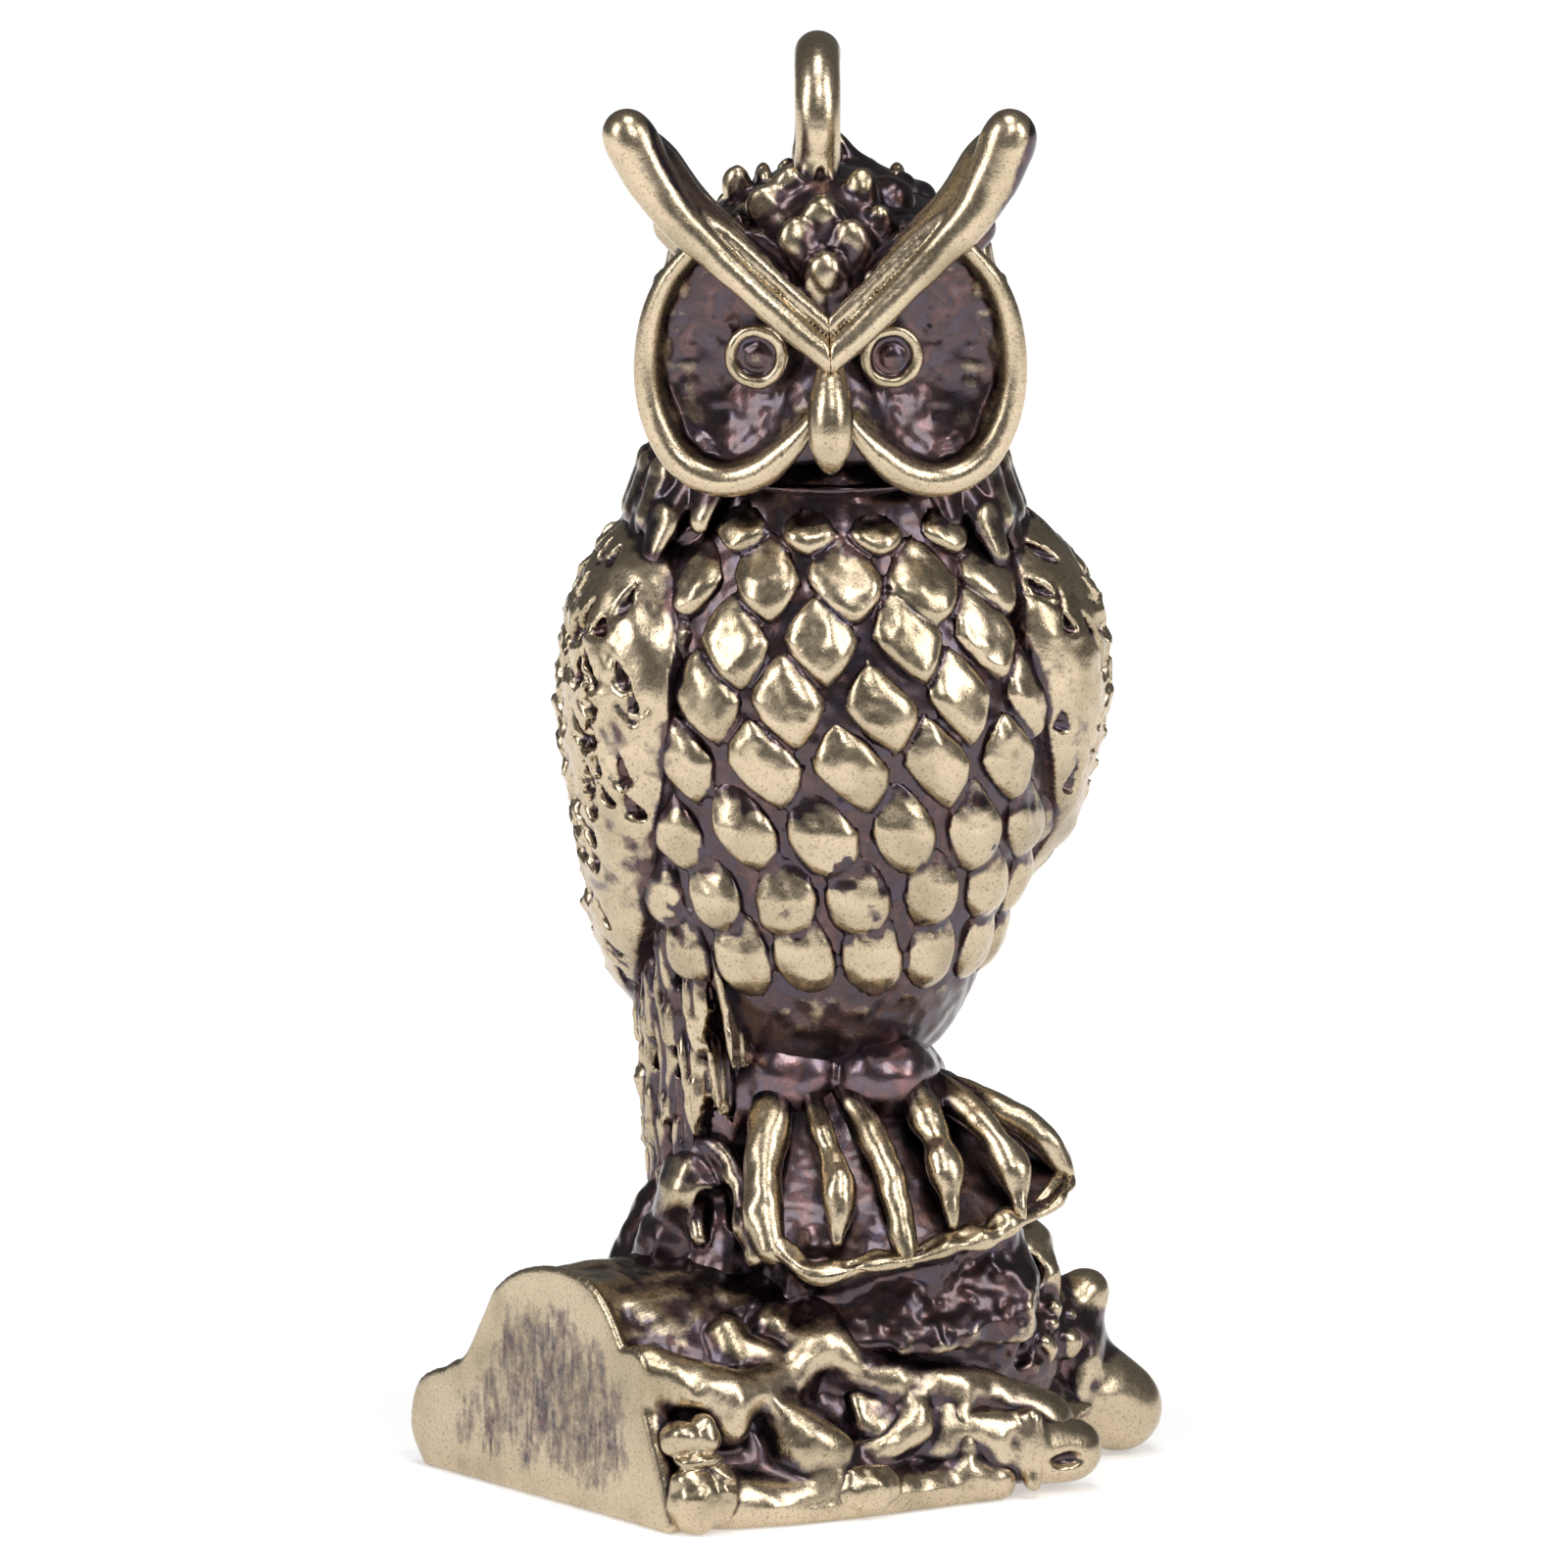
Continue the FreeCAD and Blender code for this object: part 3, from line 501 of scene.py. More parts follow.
def wing_map(shift, seed):
    """Folded wing: a rounded mass, smooth in front, with slits between its feathers behind."""
    skin = Map(20, 180, fill=-1.0)
    front = smooth_keys(skin.z, [z for z, _ in WING_FRONT], [a + shift for _, a in WING_FRONT])
    back = smooth_keys(skin.z, [z for z, _ in WING_BACK], [a for _, a in WING_BACK])
    ahead, behind = (skin.a - front) * skin.mm, (back - skin.a) * skin.mm
    inset = soft_min(ahead, behind, 0.6) * 0.85
    inset = soft_min(inset, WING_TOP - skin.z, 0.5)
    inset = soft_min(inset, (skin.z - WING_FOOT) * 0.8, 0.5)
    plump = 1.42 - 0.0066 * (ahead - 2.6) ** 2 * (ahead > 2.6)
    shoulder = 0.35 * np.exp(-(((skin.z - 25.5) / 2.6) ** 2)) * np.exp(-(((ahead - 2.6) / 2.4) ** 2))
    body = (plump + shoulder) * (1 - np.exp(-np.maximum(inset, 0) / 0.62)) - 0.05
    skin.h = np.where(inset > -0.05, body - 0.95 * (1 - ease(-0.05, 0.25, inset)), -1.0).astype(np.float32)
    cut_slits(skin, front, back, np.random.RandomState(seed))
    return skin


def cut_slits(skin, front, back, rand):
    """Rows of slits between a wing's feathers: few and fine near the front, close and deep behind."""
    for row in range(17):
        z = 28.3 - row * 0.98
        for n in range(17):
            a_mm = 0.7 + n * 0.78 + (0.39 if row % 2 else 0) + rand.uniform(-0.2, 0.2)
            zz = z + rand.uniform(-0.25, 0.25)
            j = int(np.clip((zz - skin.bottom) / skin.dz, 0, skin.z.size - 1))
            a = float(front[0, j]) + a_mm / float(skin.mm[0, j])
            if a > float(back[0, j]) - 3:
                continue
            near_front = a_mm < 2.4
            if rand.rand() < (0.5 if near_front else 0.06):
                continue
            long_ = rand.uniform(0.25, 0.55) if near_front else rand.uniform(0.45, 0.8)
            wide, deep = rand.uniform(0.17, 0.30), rand.uniform(0.4, 0.6)
            lean = rand.uniform(-0.5, 0.35)
            cut, u, v = skin.patch(a, zz, 1.4)
            u = u - v * lean
            narrow = wide * np.clip(0.6 - 0.6 * v / long_, 0.15, 1.2)
            k = np.sqrt((u / narrow) ** 2 + (v / long_) ** 2)
            skin.h[cut] -= deep * (1 - ease(0.5, 1.35, k))
            vee = np.abs(v + 0.62 - 1.25 * np.abs(u))  # outline of the feather's pointed tip
            if not near_front or rand.rand() < 0.35:
                skin.h[cut] -= 0.15 * (1 - ease(0.02, 0.15, vee)) * ease(0.5, 0.35, np.abs(u))
            # a soft scallop below each slit, as of a feather's tip
            lip = np.exp(-((u / 0.36) ** 2) - ((v + long_ * 1.1) / 0.2) ** 2)
            skin.h[cut] += (0.04 if near_front else 0.12) * lip


def shell_from(clay, skin, floor, side=1):
    """Fills clay with what lies between floor and the map's height over one side of the torso."""

    def layer(x, y, z):
        d, a = torso_distance(x, y, z)
        return np.maximum(d - skin.look(a * side, z), floor - d)

    clay.shape(layer)


def make_torso():
    clay = Clay("torso_body", OWL, (-7.2, -6.9, 11.0), (7.2, 6.9, 30.8), tarnish=0.30)

    def barrel(x, y, z):
        d, _ = torso_distance(x, y, z)
        d = soft_max(d, 11.9 - z + 0.02 * (x * x + y * y), 1.4)
        return soft_max(d, z - 30.2, 0.6)

    clay.shape(barrel)
    # plain skirt of the belly below the last feathers
    clay.raise_by(lambda x, y, z: 0.10 * ease(15.4, 14.2, z) * (y < 1) + 0.06 * noise(x, y, z, 0.45))
    clay.replaces = ["torso"]
    return clay


def make_breast():
    clay = Clay("breast_scales", OWL, (-7.2, -7.0, 13.2), (7.2, 1.2, 30.2), tarnish=0.03)
    skin = breast_map()
    shell_from(clay, skin, -0.45)

    def dirt(x, y, z):
        speckle = 0.35 + 1.3 * ease(-0.2, 0.6, noise(x, y, z, 0.30, 20) + 0.5 * noise(x, y, z, 0.7, 22))
        return speckle * skin.look(torso_distance(x, y, z)[1], z, skin.stain_and_shade)

    clay.stain_and_shade = dirt
    clay.raise_by(grain((0.07, 0.9, 2), (0.04, 0.35, 3)), 0.5)
    clay.replaces = ["breast_feathers"]
    return clay


def make_wing(side, shift, seed):
    word, left, right = ("left", -0.5, 8.4) if side > 0 else ("right", -8.6, 0.5)
    clay = Clay(f"{word}_wing", OWL, (left, -7.2, 11.6), (right, 8.2, 30.0), tarnish=0.07)
    shell_from(clay, wing_map(shift, seed), -1.0, side)
    clay.raise_by(lambda x, y, z: 0.13 * noise(x, y, z * 0.6, 1.1, 5) + 0.05 * noise(x, y, z, 0.42, 6), 0.5)
    spots = grain((1, 0.8, 31), (0.5, 0.3, 32))
    clay.stain_and_shade = lambda x, y, z: 0.13 * ease(0.1, 0.7, spots(x, y, z))
    clay.replaces = [f"{word}_wing"]
    return clay


def make_wings():
    return make_wing(-1, -4.0, 23), make_wing(1, 9.5, 24)


RUFF = (
    # bearings of the first and the last feather, step, radius, height, how far out and down it goes, size
    (46, 60, 13, 4.4, 30.2, 0.9, 1.7, 0.50),
    (66, 178, 14, 4.6, 30.6, 1.3, 2.2, 0.58),
    (59, 171, 14, 5.0, 29.3, 1.1, 1.9, 0.58),
)
RUFF_TUCK = 0.35  # the ruff's left half lies this much closer


def make_ruff():
    """Overlapping blunt feathers round the neck, as leaning drops."""
    clay = Clay("neck_ruff", OWL, (-7.4, -6.8, 26.6), (7.4, 7.4, 31.8), tarnish=0.58)
    for side in (-1, 1):
        for first, last, step, radius, z, out, drop, size in RUFF:
            radius -= RUFF_TUCK if side > 0 else 0
            for n in range(int((last - first) / step) + 1):
                s, c = sin_cos(side * first + n * side * step)
                path = [((radius + out * k) * s, 0.2 - (radius + out * k) * c, z - drop * fall)
                        for k, fall in ((0, 0), (0.6, 0.5), (1, 1))]
                radii = [size * 1.2, size * 1.2, size * 0.78]
                clay.tube(path, radii, soft=0.16, flat=((s, -c, 0.0), 0.6 * 0.75))
    clay.replaces = ["neck_ruff"]
    return clay


# ---- head ----

HEAD = np.array([0, 0.3, 33.6])
FEATHER_LIFT = 0.02
LEAN, LEAN_FROM = 0.05, 33.5  # above this height the crown and brows lean to the owl's right


def make_head():
    clay = Clay("skull", FACE, (-6.2, -5.6, 28.2), (6.2, 6.0, 39.2), tarnish=0.24)
    clay.ball(HEAD, (5.1, 4.9, 4.8), 0)
    clay.ball((0, -1.6, 31.2), (4.0, 3.9, 2.6), 0.8)
    # the front is cut back to leave room for the bowls of the face
    clay.shape(lambda x, y, z: np.maximum(y + 3.1 + 0 * x, 29.7 - z), 0.3, carve=True)
    clay.stain_and_shade = lambda x, y, z: 0.5 * ease(-1.5, -2.8, y)
    # feathers in rows round the sides and back
    rand = np.random.RandomState(5)
    for row, z in enumerate(np.arange(29.6, 38.2, 1.05)):
        r = math.sqrt(max(0.0, 1 - ((z - HEAD[2]) / 4.8) ** 2))
        count = max(6, int(2 * math.pi * 5.0 * r / 1.15))
        for n in range(count):
            a = 360 / count * (n + 0.5 * (row % 2)) + rand.uniform(-3, 3)
            front = abs((a + 180) % 360 - 180)
            if front < (68 if z < 36.2 else 40):
                continue
            s, c = sin_cos(a)
            p = np.array([(5.1 + FEATHER_LIFT) * r * s, 0.3 - (4.9 + FEATHER_LIFT) * r * c, z])
            q = p + np.array([0.22 * s, -0.22 * c, -0.75])
            clay.tube([p, q], [0.42, 0.30], soft=0.05, flat=((s, -c, 0.0), 0.55))
    clay.replaces = ["head"]
    return clay


CROWN = (
    # across, height, size: raised drops in the trough between the brows
    (0.0, 35.75, 0.52),
    (0.8, 36.6, 0.50),
    (-0.85, 36.65, 0.50),
    (0.0, 37.35, 0.48),
    (-1.69, 37.45, 0.46),
    (1.6, 37.1, 0.36),
    (1.15, 37.95, 0.44),
    (-0.95, 38.1, 0.40),
    (2.3, 37.75, 0.36),
    (-2.5, 37.9, 0.36),
)


def make_crown():
    clay = Clay("crown_feathers", FACE, (-4.6, -6.2, 32.6), (4.6, 4.8, 40.2), tarnish=0.30)
    # the forehead swells up between the brows
    middle, half = np.array([0, -0.4, 35.0]), np.array([3.1, 4.0, 3.65])
    clay.ball(middle, half, 0)
    rand = np.random.RandomState(31)
    for across, z, size in CROWN:
        share = 1 - (across / half[0]) ** 2 - ((z - middle[2]) / half[2]) ** 2
        y = middle[1] - half[1] * math.sqrt(max(0, share))
        clay.ball((across, y - 0.02, z), (size * 1.2, size * 0.95, size * 1.6), 0.35)
    for n in range(20):
        a, up = math.radians(60 + n * 13), rand.uniform(0.3, 0.85)
        c, s, r = math.cos(a), math.sin(a), math.sqrt(1 - up * up)
        clay.ball(middle + 0.93 * half * (r * s, -r * c, up), rand.uniform(0.6, 0.8), 0.25)
    wedge = [(0.35, 0.3, 39.2), (0.9, 0.4, 38.4), (1.7, 0.4, 37.7), (2.7, 0.2, 37.4)]
    clay.tube(wedge, [0.3, 0.45, 0.6, 0.6], soft=0.35)
    clay.raise_by(grain((0.06, 0.5, 15)), 0.5)
    clay.stain_and_shade = lambda x, y, z: 0.28 * ease(-2.6, -1.2, y)
    clay.lean = LEAN
    clay.replaces = ["crown_feathers"]
    return clay


FACE_RIM = (
    # across and height of the left bowl's rim, and its radius
    (4.05, 36.55, 0.20),
    (4.70, 35.75, 0.26),
    (5.12, 34.75, 0.30),
    (5.33, 33.6, 0.33),
    (5.30, 32.5, 0.35),
    (5.02, 31.4, 0.38),
    (4.45, 30.5, 0.44),
    (3.65, 29.98, 0.50),
    (2.8, 29.9, 0.50),
    (2.0, 30.2, 0.46),
    (1.35, 30.75, 0.40),
    (0.85, 31.3, 0.30),
    (0.6, 31.65, 0.18),
)
SPLAY = math.tan(math.radians(17))


def face_plane(x):
    """How far forward (negative) the bowls' rims lie at a distance across."""
    return -4.65 + (x - 3.0) * SPLAY


def make_discs():
    """Bowl round each eye. Its rim curls from the brow round the cheek and up to the beak."""
    clay = Clay("face_disc", FACE, (-0.6, -6.6, 28.6), (6.6, -0.4, 37.6), tarnish=0.16, mirror=1)
    rim = spline([(x, face_plane(x), z, r) for x, z, r in FACE_RIM], 5)
    under_brow = [(0.0, 31.7), (-0.6, 33.0), (0.0, 35.6), (2.0, 37.0), (3.4, 37.1)]
    outline = [(x, z) for x, _, z, _ in rim[::2]] + under_brow
    flat_x, flat_z = clay.x[:, :, 0], clay.z[0]
    edge = polygon_distance(flat_x, flat_z, outline)
    inside = np.full(edge.shape, 1e9)
    for (ax, _, az, _), (bx, _, bz, _) in zip(rim, rim[1:]):
        ex, ez = bx - ax, bz - az
        t = np.clip(((flat_x - ax) * ex + (flat_z - az) * ez) / (ex * ex + ez * ez), 0, 1)
        inside = np.minimum(inside, np.hypot(flat_x - ax - t * ex, flat_z - az - t * ez))
    floor = 0.22 - 1.45 * (1 - np.exp(-inside / 1.25)) + 0.05 * noise(flat_x, 0, flat_z, 0.8, 21)

    def dish(x, y, z):
        w = face_plane(x) - y + 0 * z
        body = np.maximum(edge[:, None, :], w - floor[:, None, :])
        return soft_max(body, -w - 2.3, 0.3)

    clay.shape(dish)
    clay.tube(rim[:, :3], rim[:, 3], soft=0.45)
    clay.raise_by(lambda x, y, z: 0.05 * noise(x, y, z, 0.26, 8) * ease(0.1, -0.3, face_plane(x) - y), 0.5)
    clay.raise_by(grain((0.05, 1.6, 9)), 0.5)

    # Patina inside the bowl with random tone, plus painted shade that darkens it towards the beak under the
    # brow, and painted light that lightens its outer wall.
    def bowl_patina_and_shade(x, y, z):
        depth = 0.10 + 0.22 * ease(4.0, 2.4, x) + 0.25 * noise(x, y, z, 0.5, 19) - 0.14 * ease(3.2, 4.6, x)
        return ease(-0.1, -0.8, face_plane(x) - y) * depth

    clay.stain_and_shade = bowl_patina_and_shade
    clay.halve()
    clay.replaces = ["left_face_disc", "right_face_disc"]
    return clay


def make_eye(side, across):
    """Eye on one side of the face: a raised ring, a dark groove, a dome and a small pupil."""
    word = "left" if side > 0 else "right"
    low, high = (across - 1.5, -6.4, 32.0), (across + 1.5, -2.2, 35.0)
    clay = Clay(f"{word}_eye", FACE, low, high, step=STEP * 0.6, tarnish=0.26)
    centre, splay = np.array([across, -4.55, 33.5]), math.radians(10 * side)

    def lathe(x, y, z):
        x, y, z = x - centre[0], y - centre[1], z - centre[2]
        out = x * math.sin(splay) - y * math.cos(splay)
        r = np.sqrt((x * math.cos(splay) + y * math.sin(splay)) ** 2 + z**2)
        body = np.maximum(r - 0.93 + 0.1 * ease(0, 0.6, out), out - 0.12)
        ring = np.sqrt((r - 0.76) ** 2 + (out - 0.10) ** 2) - 0.18
        dome = (np.sqrt((r / 0.44) ** 2 + ((out - 0.02) / 0.26) ** 2) - 1) * 0.26
        return soft_min(soft_min(body, ring, 0.08), dome, 0.05)

    clay.shape(lathe)
    clay.raise_by(grain((0.03, 0.3, 4)), 0.4)
    # Painted shade: the owl's left eye is darker all over, as in the shadow of its brow; the dark middle is
    # the pupil's own colour.
    painted_shade = 0.12 if side > 0 else 0
    clay.stain_and_shade = lambda x, y, z: 0.26 * ease(0.6, 0.4, np.hypot(x - across, z - centre[2])) + painted_shade
    clay.replaces = [f"{word}_eye"]
    return clay


def make_eyes():
    return make_eye(-1, -2.12), make_eye(1, 1.73)


def make_beak():
    clay = Clay("beak", FACE, (-1.6, -7.8, 29.4), (1.6, -3.6, 35.0), step=STEP * 0.7, tarnish=-0.12)
    hook = ((-5.0, 33.75), (-5.75, 33.2), (-6.25, 32.3), (-6.45, 31.4), (-6.3, 30.75), (-6.05, 30.35))
    path = spline([(0, y, z) for y, z in hook], 5)
    keys, radii = [0, 0.2, 0.45, 0.65, 0.85, 1.0], [0.25, 0.46, 0.70, 0.64, 0.34, 0.10]
    size = smooth_keys(np.linspace(0, 1, len(path)), keys, radii)
    clay.tube(path, size, soft=0, flat=((1.0, 0.0, 0.0), 0.93))
    clay.tube([(0, -3.9, 33.4), (0, -4.6, 31.8), (0, -4.3, 30.9)], [0.6, 0.85, 0.6], soft=0.25)
    clay.stain_and_shade = lambda x, y, z: 0.5 * ease(-5.5, -4.9, y)
    clay.replaces = ["beak"]
    return clay


BROW = (
    # across, forward, height of the bar's middle, radius
    (-0.12, -6.2, 33.55, 0.44),
    (0.75, -6.05, 34.28, 0.44),
    (2.0, -5.65, 35.42, 0.46),
    (3.1, -5.3, 36.45, 0.50),
    (4.1, -5.0, 37.45, 0.60),
    (4.90, -4.75, 38.65, 0.76),
    (5.36, -4.65, 39.65, 0.82),
    (5.50, -4.65, 39.92, 0.76),
)


def make_brows():
    """Brow bar, a thinner ridge along its upper edge, and the tuft's plate behind."""
    clay = Clay("brow", FACE, (-0.9, -7.6, 32.3), (7.2, 1.4, 41.8), tarnish=-0.05, mirror=1)
    bar = spline([row[:3] for row in BROW], 6)
    share = np.linspace(0, 1, len(bar))
    size = np.interp(share, np.linspace(0, 1, len(BROW)), [row[3] for row in BROW])
    upward = np.array([-0.72, 0.0, 0.69])
    plates = (
        # back, up, radius, from and to as shares of the bar
        (0.5, 0.36, 0.42, 0.3, 0.97),
        (0.95, 0.58, 0.40, 0.3, 0.88),
        (1.6, 0.60, 0.42, 0.25, 0.84),
        (2.3, 0.35, 0.48, 0.2, 0.8),
        (3.0, -0.1, 0.55, 0.15, 0.68),
        (3.6, -0.6, 0.6, 0.1, 0.56),
    )
    taper = ease(0.95, 0.70, share)
    for back, up, thick, first, last in plates:
        keep = (share >= first) & (share <= last)
        path = bar + upward * (up * taper)[:, None] + np.array([0, 1.0, 0]) * back
        clay.tube(path[keep], (thick * (0.5 + 0.5 * taper))[keep], soft=0.3)
    inner = bar + upward * (0.70 - 0.40 * ease(0.42, 0.7, share))[:, None] + np.array([0, 0.12, 0])
    keep = (share > 0.06) & (share < 0.68)
    clay.tube(inner[keep], (0.18 * ease(0.72, 0.5, share) + 0.06)[keep], soft=0.04)
    clay.tube(bar, size, soft=0.04)
    clay.raise_by(grain((0.035, 1.0, 14)), 0.4)
    clay.halve()
    front = [row[1] for row in BROW]
    clay.stain_and_shade = lambda x, y, z: 0.36 * ease(0.2, 0.6, y - np.interp(z, [row[2] for row in BROW], front))
    clay.lean = LEAN
    clay.replaces = ["left_brow", "right_brow"]
    return clay


LOOP_WIRE = 0.66  # radius of the loop's metal


def make_loop():
    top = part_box("hanging_loop")[1][2] / MM
    mount = next(m for m in frame["record"]["mounts"] if m["name"] == "loop_eye")
    centre = from_row(np.array([mount["pos_m"]]) / MM, FACE)[0]
    clay = Clay("loop", FACE, (-1.9, -3.2, 36.2), (1.9, 3.6, 43.0), step=STEP * 0.7, tarnish=-0.06)
    t = np.linspace(0, 2 * math.pi, 49)
    radius = top - centre[2] - LOOP_WIRE
    ring = [centre + np.array([0, radius * math.cos(a), radius * math.sin(a)]) for a in t]
    clay.tube(ring, LOOP_WIRE + 0.06 * ease(0.2, 1, -np.sin(t)), soft=0)
    # fillet of metal where the loop meets the crown, forked in front
    foot = centre + np.array([0, -radius * 0.92, -radius * 0.45])
    clay.tube([foot, foot + (0.40, -0.55, -1.1), foot + (0.52, -0.8, -1.7)], [0.5, 0.30, 0.22], soft=0.2)
    clay.tube([foot, foot + (-0.40, -0.5, -1.1), foot + (-0.62, -0.6, -1.7)], [0.55, 0.45, 0.35], soft=0.2)
    clay.tube([foot + (0.10, -1.0, -1.3), foot + (0.08, -0.62, -0.35)], [0.34, 0.1], soft=0.1, carve=True)
    back = centre + np.array([0, radius * 0.8, -radius * 0.7])
    clay.tube([back, back + (0, 0.4, -0.9)], [0.7, 0.8], soft=0.2)
    clay.raise_by(grain((0.03, 0.9, 12)), 0.4)
    clay.replaces = ["hanging_loop"]
    return clay


# ---- feet and perch ----


def make_legs():
    clay = Clay("legs", FACE, (-5.2, -5.2, 9.8), (6.8, 4.8, 14.6), tarnish=0.58)
    clay.ball((-1.2, -2.0, 12.1), (1.75, 1.9, 1.55), 0)
    clay.ball((1.5, -2.2, 12.0), (1.6, 1.8, 1.4), 0.25)
    clay.ball((-3.0, -1.2, 10.9), (1.6, 2.1, 2.3), 0.4)
    clay.ball((1.9, -0.8, 11.6), (1.5, 1.9, 1.4), 0.4)
    clay.ball((0.2, 0.8, 11.4), (3.1, 3.2, 2.0), 0.5)
    clay.raise_by(grain((0.10, 0.9, 1), (0.03, 0.35, 2)), 0.6)
    clay.replaces = ["left_leg", "right_leg"]
    return clay


TOES = (
    # three to a foot, the owl's right foot first: points of across, forward, height, radius
    (
        (-1.5, 2.6, 12.0, 0.55), (-1.75, 4.1, 10.9, 0.6), (-1.95, 5.2, 9.6, 0.52),
        (-1.9, 6.0, 8.4, 0.55), (-1.7, 6.5, 7.6, 0.42),
    ),
    (
        (-0.75, 2.9, 12.0, 0.34), (-0.3, 4.4, 10.9, 0.36), (0.02, 5.2, 10.1, 0.33),
        (0.26, 5.9, 9.3, 0.52), (0.27, 6.3, 8.55, 0.34), (0.2, 6.6, 7.9, 0.14),
    ),
    (
        (0.4, 3.0, 11.9, 0.44), (1.1, 4.4, 10.8, 0.42), (1.6, 5.3, 9.9, 0.40),
        (1.9, 6.0, 9.1, 0.42), (2.15, 6.7, 7.95, 0.36), (2.25, 7.0, 7.4, 0.22),
    ),
    (
        (2.3, 2.8, 12.0, 0.52), (2.85, 4.1, 10.95, 0.5), (3.1, 4.75, 10.45, 0.38),
        (3.34, 5.35, 9.8, 0.54), (3.46, 5.8, 9.05, 0.28), (3.54, 6.1, 8.3, 0.12),
    ),
    (
        (2.9, 2.2, 11.7, 0.48), (4.1, 3.5, 11.1, 0.46), (4.75, 4.15, 10.45, 0.38),
        (5.2, 4.65, 9.8, 0.52), (5.45, 5.05, 9.05, 0.28), (5.55, 5.35, 8.35, 0.12),
    ),
    (
        (3.1, 1.5, 11.6, 0.5), (4.8, 2.5, 11.05, 0.48), (5.7, 2.8, 10.65, 0.42),
        (6.2, 3.0, 10.2, 0.46), (6.7, 3.1, 9.55, 0.32), (6.95, 3.15, 9.1, 0.16),
    ),
)


def make_toes():
    clay = Clay("toes", FACE, (-3.2, -8.2, 6.6), (7.9, -0.9, 13.2), step=STEP * 0.8, tarnish=0.10)
    for toe in TOES:
        path = spline([(x, 0.16 - f, z, r * 1.06) for x, f, z, r in toe], 5)
        clay.tube(path[:, :3], np.maximum(path[:, 3], 0.08), soft=0.12)
    clay.raise_by(grain((0.07, 0.55, 3)), 0.4)
    clay.stain_and_shade = lambda x, y, z: 0.30 * ease(10.4, 11.9, z) + 0.10 * noise(x, y, z, 0.7, 33)
    clay.replaces = ["left_toes", "right_toes"]
    return clay


RIM = (
    # bearing from the face's front towards its left, reach, height of the lip
    (-180, 3.4, 8.6),
    (-110, 3.4, 8.6),
    (-75, 3.6, 8.8),
    (-50, 4.2, 9.0),
    (-35, 5.1, 8.8),
    (-24, 6.2, 8.3),
    (-15, 6.75, 7.75),
    (-4, 7.2, 7.05),
    (8, 7.3, 7.25),
    (22, 7.4, 7.6),
    (33, 7.5, 7.8),
    (42, 7.55, 8.05),
    (52, 7.75, 8.45),
    (62, 7.9, 8.95),
    (71, 7.35, 9.5),
    (82, 6.2, 9.7),
    (100, 4.8, 9.4),
    (140, 3.8, 8.8),
    (180, 3.4, 8.6),
)


def make_perch():
    """Rock that fans out from the legs to the thin lip under the claws, and is undercut below it."""
    clay = Clay("perch_rock", FACE, (-7.4, -8.2, 4.2), (8.6, 5.0, 12.8), tarnish=0.58)
    keys, reach, lip = (np.array(column, float) for column in zip(*RIM))

    def fan(x, y, z):
        a = np.degrees(np.arctan2(x, -y))
        out = smooth_keys(a, keys, reach)
        edge = smooth_keys(a, keys, lip)
        up = np.clip((z - edge) / (12.2 - edge), 0, 1)
        above = out + (2.9 - out) * (up**0.72)
        down = np.clip((edge - z) / 3.2, 0, 1)
        below = out - 1.9 * ease(0, 0.3, down) + 0.9 * ease(0.35, 1, down)
        wall = np.where(z > edge, above, below)
        return (np.sqrt(x * x + y * y) - wall) * 0.62

    clay.shape(fan)
    clay.trim(clay.z - 12.3, 0.5)
    clay.trim(4.4 - clay.z, 0.3)

    def rough(x, y, z):
        below = ease(8.6, 7.4, z)
        coarse = (0.05 + 0.10 * below) * noise(x, y, z, 0.9, 4)
        return coarse + (0.02 + 0.035 * below) * noise(x, y, z, 0.32, 5)

    clay.raise_by(rough, 0.8)
    clay.replaces = ["perch_rock"]
    return clay


def make_lip():
    """Thin scalloped edge of the rock under the claws."""
    clay = Clay("claw_ledge", FACE, (-3.6, -8.4, 6.2), (8.6, -0.4, 10.8), step=STEP * 0.8, tarnish=0.02)
    wave = np.random.RandomState(3)
    path = []
    for a, reach, z in [row for row in RIM if -20 < row[0] < 85]:
        s, c = sin_cos(a)
        path.append((reach * s, -reach * c, z - 0.02, 0.15 + wave.uniform(-0.03, 0.08)))
    path = spline(path, 7)
    path[:, 2] += 0.06 * np.sin(np.arange(len(path)) * 0.55)
    path[:, 3] *= 1 + 0.25 * np.sin(np.arange(len(path)) * 0.9)
    clay.tube(path[:, :3], path[:, 3], soft=0.1)
    inner = path.copy()
    inner[:, :2] *= 0.94
    clay.tube(inner[:, :3] + (0, 0, 0.10), path[:, 3] * 1.3, soft=0.35)
    clay.raise_by(grain((0.10, 0.55, 6)), 0.4)
    clay.replaces = ["claw_ledge"]
    return clay


def drum_axes(x, y):
    """Level distance outside the drum of feathers that hangs behind the legs, and the bearing on it."""
    return np.sqrt(x * x + (y - 0.3) ** 2) - 4.75, np.degrees(np.arctan2(x, -(y - 0.3)))


